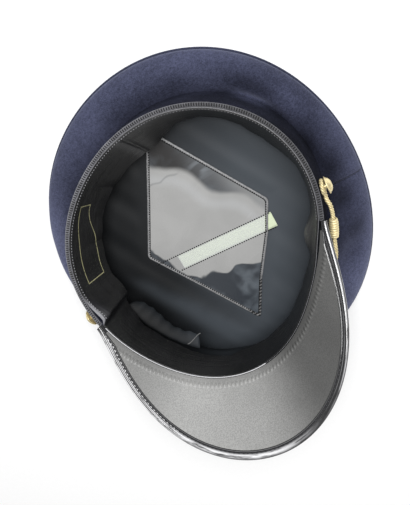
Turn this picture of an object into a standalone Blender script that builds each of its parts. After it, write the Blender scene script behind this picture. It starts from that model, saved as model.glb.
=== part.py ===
"""Peaked service cap in navy wool, lying upside down on its crown.

Metres. +X is the wearer's right, -Y the front, +Z up from the surface that the crown rests on.
Angles run from +X towards +Y, so the front is at -90 degrees.
"""

import math

import bmesh
import bpy
from mathutils import Matrix, Vector

# Gap between neighbouring pieces
CLEAR = 0.0003

# Head opening, to the outer edge of its binding
RIM_LENGTH = 0.1948
RIM_WIDTH = 0.1860
RIM_HEIGHT = 0.0698
RIM_SHIFT_RIGHT = -0.0025
RIM_SHIFT_BACK = 0.0078
RIM_PITCH = math.radians(6.4)
# Waves per turn, cosine share, sine share: the opening is pressed a little out of round
RIM_WAVES = (
    (2, 0.0, 0.0492),
    (3, -0.0013, 0.0300),
    (4, 0.0099, 0.0),
)

# Crown, to the outer edge of its welt
CROWN_LENGTH = 0.2688
CROWN_WIDTH = 0.2490
WELT_HEIGHT = 0.0050
WELT_DIAMETER = 0.0028
WOOL = 0.0020
# Waves per turn, cosine share, sine share
CROWN_WAVES = ((3, -0.0104, 0.0074),)
# Width of the curled edge of the crown's top, and its rows: share of the width, share of the rise
CURL_WIDTH = 0.0073
CURL_ROWS = (
    (1.00, 0.00),
    (0.54, 0.07),
    (0.24, 0.30),
    (0.08, 0.63),
    (0.00, 1.00),
)
# How far the side panels swell, and their rows: share of the way from band to welt, share of the swell
CROWN_SWELL = 0.0065
SIDE_ROWS = (
    (0.00, 0.00),
    (0.12, 0.10),
    (0.28, 0.62),
    (0.48, 0.95),
    (0.68, 1.00),
    (0.86, 0.80),
    (0.96, 0.42),
    (1.00, 0.00),
)
# Soft dents in the side panels: angle, share of the way, half width in degrees, half width as a
# share of the way, depth as a share of the swell
SIDE_DENTS = (
    (58, 0.55, 9, 0.20, 0.28),
    (40, 0.25, 9, 0.16, 0.32),
    (14, 0.30, 10, 0.20, 0.30),
    (48, 0.72, 8, 0.16, -0.16),
    (112, 0.50, 12, 0.22, 0.20),
    (205, 0.45, 11, 0.20, 0.24),
    (-38, 0.50, 12, 0.22, 0.22),
)
SEAM_RIGHT = math.radians(-5)
SEAM_LEFT = math.radians(185)
SEAM_INSET = 0.0025

# Band, its bound edge and the leather inside it
BAND_DEPTH = 0.0395
BAND_WALL = 0.0028
BAND_FLARE = 0.0040
BINDING_HEIGHT = 0.0022
# Section of the binding: share of the way across the band's wall, share of the height
BINDING_SECTION = (
    (0.00, 0.00),
    (0.00, 0.60),
    (0.20, 0.92),
    (0.50, 1.00),
    (0.80, 0.92),
    (1.00, 0.60),
    (1.00, 0.00),
)
SWEATBAND_DEPTH = 0.0400
LEATHER = 0.0012
# Angle, inward lean of the leather's deep edge as a share of its depth
LEATHER_LEAN = (
    (0, 0.125),
    (30, 0.300),
    (60, 0.250),
    (95, 0.400),
    (140, 0.270),
    (180, 0.260),
    (215, 0.040),
    (270, 0.010),
    (320, 0.030),
)
LEATHER_ROWS = (0.0, 0.35, 0.70, 1.0)

# Lining of the crown
LINING = 0.0010
LINING_SHARE = 0.88
LINING_TUCK = 0.0060

# Clear shield on the lining, its piping, and the slip under it
SHIELD_LENGTH = 0.1820
SHIELD_WIDTH = 0.1090
SHIELD_RIGHT = -0.0046
SHIELD_BACK = -0.0016
SHIELD_SHEET = 0.0005
PIPING_WIDTH = 0.0022
PIPING_HEIGHT = 0.0008
# Corners of the shield: share of half its width to the right, share of half its length to the back
SHIELD_CORNERS = (
    (-1.000, -0.010),
    (-0.530, -0.455),
    (0.030, -1.000),
    (0.350, -0.650),
    (0.770, -0.275),
    (0.900, -0.120),
    (1.000, -0.010),
    (0.430, 0.555),
    (-0.020, 1.000),
    (-0.220, 0.785),
    (-0.575, 0.420),
)
SLIP_LENGTH = 0.0830
SLIP_WIDTH = 0.0126
SLIP_SHEET = 0.0003
SLIP_RIGHT = 0.0047
SLIP_BACK = -0.0186
SLIP_TURN = math.radians(-0.8)

# Peak
PEAK_LENGTH = 0.0628
PEAK_END = 0.0052
PEAK_POWER = 1.4
PEAK_SPREAD = math.radians(78)
PEAK_SLOPE = math.radians(45)
PEAK_INSET = 0.0016
PEAK_CAMBER = 0.0015
PEAK_BOARD = 0.0015
PEAK_LINING = 0.0008
PEAK_LINING_START = 0.0012
PEAK_BEAD = 0.0019
PEAK_FLANGE = 0.0062
PEAK_FLANGE_WALL = 0.0008
PEAK_ROWS = 5

# Chin cord, its slides and its buttons
CORD_DIAMETER = 0.0032
CORD_SLACK = 0.0075
# Share of the angle from the front to the button, drop as a share of the band's depth, slack share
CORD_ROUTE = (
    (0.94, 0.380, 0.00),
    (0.90, 0.385, 0.30),
    (0.84, 0.470, 0.44),
    (0.74, 0.580, 0.60),
    (0.63, 0.650, 1.00),
    (0.50, 0.660, 0.62),
    (0.33, 0.620, 0.16),
    (0.17, 0.590, 0.02),
)
SLIDE_SHARE = 0.79
SLIDE_LENGTH = 0.0150
SLIDE_DIAMETER = 0.0070
# Share of the slide's length, share of its diameter
SLIDE_ROWS = (
    (0.00, 0.80),
    (0.12, 0.96),
    (0.50, 1.00),
    (0.88, 0.96),
    (1.00, 0.80),
)
BUTTON_DIAMETER = 0.0125
BUTTON_DOME = 0.0038
BUTTON_SHANK = 0.0036
BUTTON_DROP = 0.0095
BUTTON_RIGHT = math.radians(-1)
BUTTON_LEFT = math.radians(-172)
# Share of the button's radius, share of the dome's height
DOME_ROWS = (
    (0.94, 0.00),
    (1.00, 0.16),
    (0.88, 0.54),
    (0.58, 0.86),
    (0.20, 1.00),
)

FACETS = 60
FRONT = -math.pi / 2
RIM_CENTRE = Vector((RIM_SHIFT_RIGHT, RIM_SHIFT_BACK, RIM_HEIGHT))
PITCH = Matrix.Rotation(-RIM_PITCH, 3, "X")
LINING_TOP = WOOL + CLEAR + LINING
SLIP_TOP = LINING_TOP + CLEAR + SLIP_SHEET
SHIELD_FLOOR = SLIP_TOP + CLEAR


def plan(angle, length, width, waves):
    """A point of a closed plan curve, and the way out from its centre there."""
    share = 1 + sum(c * math.cos(n * angle) + s * math.sin(n * angle) for n, c, s in waves)
    spot = Vector((width / 2 * math.cos(angle), length / 2 * math.sin(angle), 0)) * share
    return spot, spot.normalized()


def band_point(angle, out, drop):
    """A point at a distance out from the rim's edge and down into the cap from the rim's plane."""
    spot, outward = plan(angle, RIM_LENGTH, RIM_WIDTH, RIM_WAVES)
    spot += outward * out
    spot.z = -drop
    return RIM_CENTRE + PITCH @ spot


def crown_point(angle, inset, height):
    """A point inside the welt's outer edge, at a height above the floor."""
    spot, outward = plan(angle, CROWN_LENGTH, CROWN_WIDTH, CROWN_WAVES)
    spot -= outward * inset
    spot.z = height
    return spot


def round_way(angle):
    """The way round the cap at this angle."""
    return Vector((-math.sin(angle), math.cos(angle), 0))


def stations(first, last):
    """Angles from first to last, at the facets' own angles in between."""
    step = math.tau / FACETS
    inner = [i * step for i in range(-FACETS, 2 * FACETS)]
    kept = [angle for angle in inner if first + 0.3 * step < angle < last - 0.3 * step]
    return [first] + kept + [last]


def full_turn():
    return [i * math.tau / FACETS for i in range(FACETS)]


def walled(line, side, wall):
    """The closed section of a wall of this thickness that backs a line."""
    back = []
    for i, point in enumerate(line):
        along = line[min(i + 1, len(line) - 1)] - line[max(i - 1, 0)]
        back.append(point + side.cross(along).normalized() * wall)
    return list(line) + back[::-1]


def smooth_share(table, angle):
    """The table's value at an angle in degrees, eased from row to row and round again."""
    angle %= 360
    rows = list(table) + [(table[0][0] + 360, table[0][1])]
    for (a, low), (b, high) in zip(rows, rows[1:]):
        if a <= angle <= b:
            share = (angle - a) / (b - a)
            return low + (high - low) * (3 - 2 * share) * share**2
    return table[0][1]


def add_object(name, data, finish):
    obj = bpy.data.objects.new(name, data)
    bpy.context.scene.collection.objects.link(obj)
    slot, colour, roughness, metallic = finish
    material = bpy.data.materials.new(slot)
    material.use_nodes = True
    shader = material.node_tree.nodes["Principled BSDF"]
    shader.inputs["Base Color"].default_value = (*colour, 1)
    shader.inputs["Roughness"].default_value = roughness
    shader.inputs["Metallic"].default_value = metallic
    data.materials.append(material)
    return obj


def add_solid(name, rings, closed, finish):
    """A solid through a row of equal closed rings, joined end to end or capped at both ends."""
    count = len(rings[0])
    points = [point for ring in rings for point in ring]
    faces = []
    for i in range(len(rings) - (not closed)):
        here, there = i * count, (i + 1) % len(rings) * count
        for k in range(count):
            m = (k + 1) % count
            faces.append((here + k, here + m, there + m, there + k))
    if not closed:
        faces.append(tuple(range(count)))
        faces.append(tuple(range(len(points) - count, len(points))))
    mesh = bpy.data.meshes.new(name)
    mesh.from_pydata(points, [], faces)
    shell = bmesh.new()
    shell.from_mesh(mesh)
    bmesh.ops.recalc_face_normals(shell, faces=shell.faces)
    shell.to_mesh(mesh)
    shell.free()
    mesh.polygons.foreach_set("use_smooth", [True] * len(mesh.polygons))
    mesh.set_sharp_from_angle(angle=math.radians(40))
    return add_object(name, mesh, finish)


def add_plate(name, outline, low, high, finish):
    rings = [[Vector((x, y, z)) for x, y in outline] for z in (low, high)]
    return add_solid(name, rings, False, finish)


def band_face(drop):
    """How far the band's outer face stands out of the rim's edge at this drop."""
    return BAND_FLARE * (drop - BINDING_HEIGHT - CLEAR) / BAND_DEPTH


def make_crown():
    """The crown's top with its curled edge, the welt round it and the two side panels."""
    finish = ("navy_wool_top", (0.045, 0.05, 0.075), 0.95, 0.0)
    reach = WELT_DIAMETER / 2 + 1.5 * CLEAR
    inset = WELT_DIAMETER / 2 + 0.4 * reach
    rise = WELT_HEIGHT - 0.92 * reach
    sections = []
    for angle in full_turn():
        line = [crown_point(angle, inset + CURL_WIDTH * far, rise * up) for far, up in CURL_ROWS]
        sections.append(walled(line, round_way(angle), -WOOL))
    add_solid("crown_top", [list(ring) for ring in zip(*sections)], False, finish)

    finish = ("navy_wool_welt", (0.03, 0.033, 0.05), 0.9, 0.0)
    sections = []
    for angle in full_turn():
        radius = WELT_DIAMETER / 2
        turns = [i * math.tau / 6 for i in range(6)]
        sections.append(
            [
                crown_point(angle, radius * (1 - math.cos(a)), WELT_HEIGHT + radius * math.sin(a))
                for a in turns
            ]
        )
    add_solid("crown_welt", sections, True, finish)

    gap = CLEAR / RIM_LENGTH
    panels = (
        ("crown_side_front", SEAM_LEFT - math.tau + gap, SEAM_RIGHT - gap),
        ("crown_side_back", SEAM_RIGHT + gap, SEAM_LEFT - gap),
    )
    for name, first, last in panels:
        finish = ("navy_wool_" + name[-5:].strip("_"), (0.05, 0.055, 0.08), 0.95, 0.0)
        sections = [side_section(angle) for angle in stations(first, last)]
        add_solid(name, sections, False, finish)


def dent(angle, share):
    """The depth of the panels' dents at this place, as a share of the swell."""
    total = 0
    for middle, along, half_angle, half_share, depth in SIDE_DENTS:
        turn = (math.degrees(angle) - middle + 180) % 360 - 180
        total += depth * math.exp(-((turn / half_angle) ** 2) - ((share - along) / half_share) ** 2)
    return total


def side_section(angle):
    start = band_point(angle, BAND_FLARE - SEAM_INSET, BINDING_HEIGHT + BAND_DEPTH + 2 * CLEAR)
    end = crown_point(angle, WELT_DIAMETER / 2, WELT_HEIGHT + WELT_DIAMETER / 2 + CLEAR)
    side = round_way(angle)
    up = (end - start).cross(side).normalized()
    line = []
    for share, lift in SIDE_ROWS:
        swell = CROWN_SWELL * lift * (1 - dent(angle, share))
        line.append(start.lerp(end, share) + up * swell)
    return walled(line, side, WOOL)


def make_band():
    """The wool-covered band, the ribbed binding of its edge and the leather sweatband."""
    top = BINDING_HEIGHT + CLEAR
    sections = []
    for angle in full_turn():
        sections.append(
            [
                band_point(angle, 0, top),
                band_point(angle, BAND_FLARE, top + BAND_DEPTH),
                band_point(angle, BAND_FLARE - BAND_WALL, top + BAND_DEPTH),
                band_point(angle, -BAND_WALL, top),
            ]
        )
    add_solid("cap_band", sections, True, ("navy_wool_band", (0.04, 0.045, 0.07), 0.95, 0.0))

    gap = 2 * CLEAR / RIM_WIDTH
    arc = stations(FRONT + PEAK_SPREAD + gap, FRONT - PEAK_SPREAD + math.tau - gap)
    sections = []
    for angle in arc:
        sections.append(
            [
                band_point(angle, -BAND_WALL * across, BINDING_HEIGHT * (1 - up))
                for across, up in BINDING_SECTION
            ]
        )
    add_solid("rim_binding", sections, False, ("ribbed_binding", (0.30, 0.28, 0.32), 0.8, 0.0))

    sections = []
    for angle in full_turn():
        lean = smooth_share(LEATHER_LEAN, math.degrees(angle)) * SWEATBAND_DEPTH
        outer = [
            (-BAND_WALL - CLEAR - lean * share**1.2, SWEATBAND_DEPTH * share)
            for share in LEATHER_ROWS
        ]
        outer_face = [band_point(angle, out, drop) for out, drop in outer]
        inner_face = [band_point(angle, out - LEATHER, drop) for out, drop in reversed(outer)]
        sections.append(outer_face + inner_face)
    add_solid("sweatband", sections, True, ("black_leather", (0.02, 0.02, 0.022), 0.4, 0.0))


def make_lining():
    """The lining's flat tip and the strip that runs up from it into the band."""
    finish = ("satin_tip", (0.035, 0.04, 0.05), 0.45, 0.0)
    low = WOOL + CLEAR
    rings = []
    for height in (low, LINING_TOP):
        rings.append([lining_edge(angle, height) for angle in full_turn()])
    add_solid("lining_tip", rings, False, finish)

    finish = ("satin_side", (0.035, 0.04, 0.05), 0.45, 0.0)
    deep = BINDING_HEIGHT + CLEAR + BAND_DEPTH
    inside = BAND_FLARE - SEAM_INSET - WOOL - CLEAR
    tuck_face = band_face(deep - LINING_TUCK) - BAND_WALL - CLEAR
    sections = []
    for angle in full_turn():
        top = band_point(angle, tuck_face, deep - LINING_TUCK)
        neck = band_point(angle, inside, deep)
        low_neck = band_point(angle, inside, deep + 2 * WOOL)
        foot = lining_edge(angle, LINING_TOP + CLEAR + LINING)
        middle = low_neck.lerp(foot, 0.5)
        sections.append(walled([top, neck, low_neck, middle, foot], round_way(angle), LINING))
    add_solid("lining_side", sections, True, finish)


def lining_edge(angle, height):
    spot, _ = plan(angle, CROWN_LENGTH, CROWN_WIDTH, CROWN_WAVES)
    spot *= LINING_SHARE
    spot.z = height
    return spot


def inset_outline(outline, inset):
    """A convex outline moved in by this much, its corners kept sharp."""
    moved = []
    for i, (x, y) in enumerate(outline):
        before = Vector(outline[i - 1])
        after = Vector(outline[(i + 1) % len(outline)])
        here = Vector((x, y))
        into = (here - before).normalized()
        away = (after - here).normalized()
        normal = Vector((-into.y - away.y, into.x + away.x)).normalized()
        reach = inset / normal.dot(Vector((-into.y, into.x)))
        spot = here + normal * reach
        moved.append((spot.x, spot.y))
    return moved


def make_shield():
    """The clear shield, its piping and the slip that it holds on the lining."""
    outline = [
        (SHIELD_RIGHT + SHIELD_WIDTH / 2 * right, SHIELD_BACK + SHIELD_LENGTH / 2 * back)
        for right, back in SHIELD_CORNERS
    ]
    inner = inset_outline(outline, PIPING_WIDTH)
    sheet = inset_outline(outline, PIPING_WIDTH + CLEAR)
    finish = ("clear_vinyl", (0.62, 0.64, 0.62), 0.15, 0.0)
    add_plate("sweat_shield", sheet, SHIELD_FLOOR, SHIELD_FLOOR + SHIELD_SHEET, finish)

    top = SHIELD_FLOOR + PIPING_HEIGHT
    sections = []
    for (x, y), (u, v) in zip(outline, inner):
        sections.append(
            [
                Vector((x, y, SHIELD_FLOOR)),
                Vector((x, y, (SHIELD_FLOOR + top) / 2)),
                Vector((x * 0.7 + u * 0.3, y * 0.7 + v * 0.3, top)),
                Vector((x * 0.3 + u * 0.7, y * 0.3 + v * 0.7, top)),
                Vector((u, v, (SHIELD_FLOOR + top) / 2)),
                Vector((u, v, SHIELD_FLOOR)),
            ]
        )
    add_solid("shield_piping", sections, True, ("pale_piping", (0.60, 0.60, 0.58), 0.5, 0.0))

    turn = Matrix.Rotation(SLIP_TURN, 2)
    corners = []
    for right, back in ((-1, -1), (1, -1), (1, 1), (-1, 1)):
        spot = turn @ Vector((SLIP_LENGTH / 2 * right, SLIP_WIDTH / 2 * back))
        corners.append((SLIP_RIGHT + spot.x, SLIP_BACK + spot.y))
    finish = ("pale_green_slip", (0.72, 0.80, 0.58), 0.7, 0.0)
    add_plate("name_slip", corners, SLIP_TOP - SLIP_SHEET, SLIP_TOP, finish)


def peak_width(t):
    """Width of the peak up its slope, with t from -1 at the left end to 1 at the right."""
    return PEAK_END + (PEAK_LENGTH - PEAK_END) * max(math.cos(math.pi / 2 * t), 0) ** PEAK_POWER


def peak_point(t, along, above):
    """A point up the peak's slope, and above the lower face of its board."""
    width = peak_width(t)
    share = along / width
    above -= PEAK_CAMBER * (width / PEAK_LENGTH) ** 2 * 4 * share * (1 - share)
    out = -PEAK_INSET + along * math.cos(PEAK_SLOPE) - above * math.sin(PEAK_SLOPE)
    drop = BINDING_HEIGHT - along * math.sin(PEAK_SLOPE) - above * math.cos(PEAK_SLOPE)
    return band_point(FRONT + PEAK_SPREAD * t, out, drop)


def peak_strip(t, start, stop, low, high):
    """A flat section of the peak from one distance up its slope to another."""
    shares = [i / (PEAK_ROWS - 1) for i in range(PEAK_ROWS)]
    lower = [peak_point(t, start + (stop - start) * share, low) for share in shares]
    upper = [peak_point(t, start + (stop - start) * share, high) for share in reversed(shares)]
    return lower + upper


def make_peak():
    """The peak's board, the grained lining of its underside and the rolled binding of its edge."""
    ends = (FRONT - PEAK_SPREAD, FRONT + PEAK_SPREAD)
    arc = [(angle - FRONT) / PEAK_SPREAD for angle in stations(*ends)]
    boards, linings, bindings = [], [], []
    lining_low = PEAK_BOARD + CLEAR
    for t in arc:
        width = peak_width(t)
        bead = min(PEAK_BEAD, 0.35 * width)
        flange = min(PEAK_FLANGE, 0.55 * width)
        boards.append(peak_strip(t, 0, width - bead - CLEAR, 0, PEAK_BOARD))
        if abs(t) < 0.95:
            stop = width - flange - CLEAR
            strip = peak_strip(t, PEAK_LINING_START, stop, lining_low, lining_low + PEAK_LINING)
            linings.append(strip)
        low = -CLEAR - PEAK_FLANGE_WALL
        high = lining_low + PEAK_FLANGE_WALL
        back_flange = 0.8 * flange
        profile = (
            (flange, lining_low),
            (bead, lining_low),
            (bead, -CLEAR),
            (back_flange, -CLEAR),
            (back_flange, low),
            (1.2 * bead, 1.1 * low),
            (0.4 * bead, 0.8 * low),
            (0, 0.1 * high),
            (0, 0.6 * high),
            (0.4 * bead, 0.95 * high),
            (1.2 * bead, 1.06 * high),
            (flange, high),
        )
        bindings.append([peak_point(t, width - far, above) for far, above in profile])
    add_solid("peak", boards, False, ("black_patent_board", (0.012, 0.012, 0.014), 0.12, 0.0))
    add_solid("peak_lining", linings, False, ("grey_leatherette", (0.33, 0.335, 0.33), 0.55, 0.0))
    finish = ("black_patent_edge", (0.012, 0.012, 0.014), 0.12, 0.0)
    add_solid("peak_binding", bindings, False, finish)


def cord_point(angle, drop, stand):
    """A point of the cord's middle line that stands this far off the band's outer face."""
    return band_point(angle, band_face(drop) + stand, drop)


def cord_side(button):
    """The cord's own points from one button to the front: a loop round the shank, then the route."""
    top = BINDING_HEIGHT + CLEAR
    toward = -1 if button > FRONT else 1
    rest = CORD_DIAMETER / 2 + CLEAR
    loop = BUTTON_SHANK / 2 + 2 * CLEAR + CORD_DIAMETER / 2
    points = []
    for degrees in range(-170, 91, 20):
        turn = math.radians(degrees)
        angle = button - toward * loop * math.cos(turn) / (RIM_WIDTH / 2)
        points.append(cord_point(angle, top + BUTTON_DROP + loop * math.sin(turn), rest))
    for share, drop, slack in CORD_ROUTE:
        angle = FRONT + (button - FRONT) * share
        points.append(cord_point(angle, top + BAND_DEPTH * drop, rest + CORD_SLACK * slack))
    return points


def smooth_line(points, spacing):
    """A smooth line through the points, with about this spacing."""
    ends = [points[0] * 2 - points[1]] + points + [points[-1] * 2 - points[-2]]
    line = []
    for before, a, b, after in zip(ends, ends[1:], ends[2:], ends[3:]):
        steps = max(1, round((b - a).length / spacing))
        for i in range(steps):
            s = i / steps
            line.append(
                (
                    a * 2
                    + (b - before) * s
                    + (before * 2 - a * 5 + b * 4 - after) * s**2
                    + (a * 3 - b * 3 + after - before) * s**3
                )
                / 2
            )
    return line + [points[-1]]


def part_of(line, start, length):
    """The stretch of a line from one distance along it, with its own corners kept."""
    stretch, passed = [], 0
    for a, b in zip(line, line[1:]):
        step = (b - a).length
        for reach in (start, start + length):
            if passed <= reach < passed + step:
                stretch.append((reach, a.lerp(b, (reach - passed) / step)))
        if start < passed + step < start + length:
            stretch.append((passed + step, b))
        passed += step
    stretch.sort(key=lambda row: row[0])
    return [((reach - start) / length, spot) for reach, spot in stretch]


def distance_to(line, point):
    """How far along a line its corner nearest to a point lies."""
    reach = [0]
    for a, b in zip(line, line[1:]):
        reach.append(reach[-1] + (b - a).length)
    return min(zip(line, reach), key=lambda row: (row[0] - point).length)[1]


def slide_radius(share):
    rows = zip(SLIDE_ROWS, SLIDE_ROWS[1:])
    for (a, low), (b, high) in rows:
        if a <= share <= b:
            return SLIDE_DIAMETER / 2 * (low + (high - low) * (share - a) / (b - a))
    return SLIDE_DIAMETER / 2 * SLIDE_ROWS[-1][1]


def add_slide(name, line, middle, finish):
    """A wound knot round the cord, which passes through it."""
    stretch = part_of(line, distance_to(line, middle) - SLIDE_LENGTH / 2, SLIDE_LENGTH)
    spots = [spot for _, spot in stretch]
    bore = CORD_DIAMETER / 2 + CLEAR
    sections = []
    for i in range(12):
        turn = i * math.tau / 12
        outer, inner = [], []
        for k, (share, spot) in enumerate(stretch):
            along = (spots[min(k + 1, len(spots) - 1)] - spots[max(k - 1, 0)]).normalized()
            across = along.cross(Vector((0, 0, 1))).normalized()
            rise = across.cross(along)
            way = across * math.cos(turn) + rise * math.sin(turn)
            outer.append(spot + way * slide_radius(share))
            inner.append(spot + way * bore)
        sections.append(outer + inner[::-1])
    add_solid(name, sections, True, finish)


def add_button(name, angle, finish):
    """A domed button that stands on a shank off the band's outer face."""
    drop = BINDING_HEIGHT + CLEAR + BUTTON_DROP
    foot = band_point(angle, band_face(drop), drop)
    out = (band_point(angle, band_face(drop) + 1, drop) - foot).normalized()
    across = out.cross(Vector((0, 0, 1))).normalized()
    rise = across.cross(out)
    stand = 1.15 * CORD_DIAMETER + 3 * CLEAR
    rows = [(BUTTON_SHANK / 2, CLEAR), (BUTTON_SHANK / 2, stand)]
    rows += [(BUTTON_DIAMETER / 2 * wide, stand + BUTTON_DOME * tall) for wide, tall in DOME_ROWS]
    rings = []
    for radius, height in rows:
        turns = [i * math.tau / 20 for i in range(20)]
        rings.append(
            [
                foot + out * height + (across * math.cos(a) + rise * math.sin(a)) * radius
                for a in turns
            ]
        )
    add_solid(name, rings, False, finish)


def make_chin_cord():
    """The gold cord along the front of the band, its two slides and its two buttons."""
    right = cord_side(BUTTON_RIGHT)
    left = cord_side(BUTTON_LEFT)
    top = BINDING_HEIGHT + CLEAR
    front = cord_point(FRONT, top + BAND_DEPTH * 0.58, CORD_DIAMETER / 2 + CLEAR)
    line = smooth_line(right + [front] + left[::-1], 2.2 * CORD_DIAMETER)
    curve = bpy.data.curves.new("chin_cord", "CURVE")
    curve.dimensions = "3D"
    curve.bevel_depth = CORD_DIAMETER / 2
    curve.bevel_resolution = 2
    curve.use_fill_caps = True
    spline = curve.splines.new("POLY")
    spline.points.add(len(line) - 1)
    for point, spot in zip(spline.points, line):
        point.co = (*spot, 1)
    add_object("chin_cord", curve, ("gold_cord", (0.70, 0.60, 0.30), 0.4, 0.6))

    for side, button in (("right", BUTTON_RIGHT), ("left", BUTTON_LEFT)):
        finish = ("gold_slide_" + side, (0.70, 0.60, 0.30), 0.4, 0.6)
        angle = FRONT + (button - FRONT) * SLIDE_SHARE
        middle = cord_point(angle, top + BAND_DEPTH * 0.53, CORD_DIAMETER / 2 + CORD_SLACK * 0.52)
        add_slide("chin_slide_" + side, line, middle, finish)
        finish = ("gold_button_" + side, (0.80, 0.68, 0.35), 0.3, 0.9)
        add_button("chin_button_" + side, button, finish)


def main():
    for obj in list(bpy.data.objects):
        bpy.data.objects.remove(obj)
    make_crown()
    make_band()
    make_lining()
    make_shield()
    make_peak()
    make_chin_cord()


main()
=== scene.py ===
"""Peaked service cap in navy wool, lying upside down on its crown, dressed over its CAD frame.

Metres. +X is the wearer's right, -Y the front, +Z up from the floor that the crown rests on.
Angles run from +X towards +Y, so the front is at -90 degrees.
"""

import math

import bmesh
import bpy
import numpy as np
from bpy.props import FloatProperty, FloatVectorProperty, IntProperty, PointerProperty
from mathutils import Matrix, Vector


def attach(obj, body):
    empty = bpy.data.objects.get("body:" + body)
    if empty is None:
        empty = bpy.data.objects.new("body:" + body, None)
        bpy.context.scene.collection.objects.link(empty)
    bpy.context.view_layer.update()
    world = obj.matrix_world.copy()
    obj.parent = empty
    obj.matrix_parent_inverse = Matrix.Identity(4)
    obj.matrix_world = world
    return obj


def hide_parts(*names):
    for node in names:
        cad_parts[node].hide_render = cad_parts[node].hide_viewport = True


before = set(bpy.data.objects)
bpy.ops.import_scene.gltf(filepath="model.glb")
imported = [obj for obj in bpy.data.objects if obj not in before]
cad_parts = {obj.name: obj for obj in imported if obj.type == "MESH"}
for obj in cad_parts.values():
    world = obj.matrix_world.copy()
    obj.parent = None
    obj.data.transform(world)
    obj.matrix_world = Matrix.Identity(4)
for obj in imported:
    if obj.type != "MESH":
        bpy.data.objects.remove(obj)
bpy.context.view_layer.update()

bl_info = {
    "name": "Peaked Service Cap",
    "version": (1, 0, 0),
    "blender": (4, 5, 0),
    "location": "3D View > Sidebar > Cap",
    "description": "Builds a wool peaked cap with its lining, leather, peak and gold chin cord",
    "category": "Add Mesh",
}

# Gap between neighbouring pieces
CLEAR = 0.0003

# Head opening, to the outer edge of its binding
RIM_LENGTH = 0.1948
RIM_WIDTH = 0.1860
RIM_HEIGHT = 0.0698
RIM_SHIFT_RIGHT = -0.0025
RIM_SHIFT_BACK = 0.0078
RIM_PITCH = math.radians(6.4)
# Waves per turn, cosine share, sine share: the opening is pressed a little out of round
RIM_WAVES = ((2, 0.0, 0.0492), (3, -0.0013, 0.0300), (4, 0.0099, 0.0))

# Crown, to the outer edge of its welt
CROWN_LENGTH = 0.2688
CROWN_WIDTH = 0.2490
WELT_HEIGHT = 0.0050
WELT_DIAMETER = 0.0028
WOOL = 0.0020
CROWN_WAVES = ((3, -0.0104, 0.0074),)
# Curled edge of the crown's top: share of its width, share of its rise
CURL_WIDTH = 0.0073
CURL_ROWS = ((1.00, 0.00), (0.54, 0.07), (0.24, 0.30), (0.08, 0.63), (0.00, 1.00))
# Height of the side panels' swell
CROWN_SWELL = 0.0065
# Soft dents: angle, share of the way, half width in degrees, half width as a share, depth share
SIDE_DENTS = (
    (58, 0.55, 9, 0.20, 0.28),
    (40, 0.25, 9, 0.16, 0.32),
    (14, 0.30, 10, 0.20, 0.30),
    (48, 0.72, 8, 0.16, -0.16),
    (112, 0.50, 12, 0.22, 0.20),
    (205, 0.45, 11, 0.20, 0.24),
    (-38, 0.50, 12, 0.22, 0.22),
)
SEAM_RIGHT = math.radians(-5)
SEAM_LEFT = math.radians(185)
SEAM_INSET = 0.0025
# How far a seam draws the wool down, over what half width, and the angle between the close
# stations beside it
SEAM_DEPTH = 0.0009
SEAM_HALF_WIDTH = 0.0016
SEAM_STEP = 0.0016
WOOL_RIPPLE = 0.00035

# Band, its bound edge and the leather inside it
BAND_DEPTH = 0.0395
BAND_WALL = 0.0028
BAND_FLARE = 0.0040
BINDING_HEIGHT = 0.0022
# Rounding of the band's two edges, room over the binding's base, and depth of the ribs' middle
BAND_ROUND = 0.0008
BINDING_ROOM = 0.0004
RIB_DROP = 0.0013
SWEATBAND_DEPTH = 0.0400
LEATHER = 0.0012
# How far the leather stands in: its bulge, its pleat, its back seam, and its waves
LEATHER_BULGE = 0.0072
LEATHER_PLEAT = 0.0080
LEATHER_SEAM = 0.0016
LEATHER_WAVES = (0.0007, 0.0003)
# Angle, inward lean of the leather's deep edge as a share of its depth
LEATHER_LEAN = (
    (0, 0.125),
    (30, 0.300),
    (60, 0.250),
    (95, 0.400),
    (140, 0.270),
    (180, 0.260),
    (215, 0.040),
    (270, 0.010),
    (320, 0.030),
)

# Loose fold of the lining at the front left: angle, reach inwards
FOLD_ROWS = (
    (196, 0.0030),
    (199, 0.0095),
    (204, 0.0115),
    (210, 0.0118),
    (216, 0.0105),
    (222, 0.0088),
    (228, 0.0085),
    (233, 0.0090),
    (237, 0.0085),
    (238.5, 0.0030),
)

# The label panel on the leather: its place along the rim and its length, then its depth and half
# height at its back and front ends, and its line
LABEL_ALONG = 0.4050
LABEL_LENGTH = 0.0650
LABEL_DEEP = (0.0138, 0.0223)
LABEL_HALF = (0.0058, 0.0101)
LABEL_LINE = 0.0007

# Lining of the crown
LINING = 0.0010
LINING_SHARE = 0.88
LINING_TUCK = 0.0060
# Height of the side strip's pleats and of its belly
LINING_PLEAT = 0.0008
LINING_BELLY = 0.0012

# Share of the full depth that the leather reaches, by angle: its deep edge waves
LEATHER_EDGE = (
    (0, 0.88),
    (9, 0.91),
    (22, 1.00),
    (39, 0.99),
    (55, 0.89),
    (64, 0.86),
    (72, 0.83),
    (79, 1.00),
    (98, 1.00),
    (190, 1.00),
    (200, 0.97),
    (210, 0.92),
    (226, 0.90),
    (237, 0.80),
    (246, 0.765),
    (254, 0.77),
    (260, 0.92),
    (275, 0.97),
    (300, 1.00),
    (338, 0.92),
    (352, 0.80),
)
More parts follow.
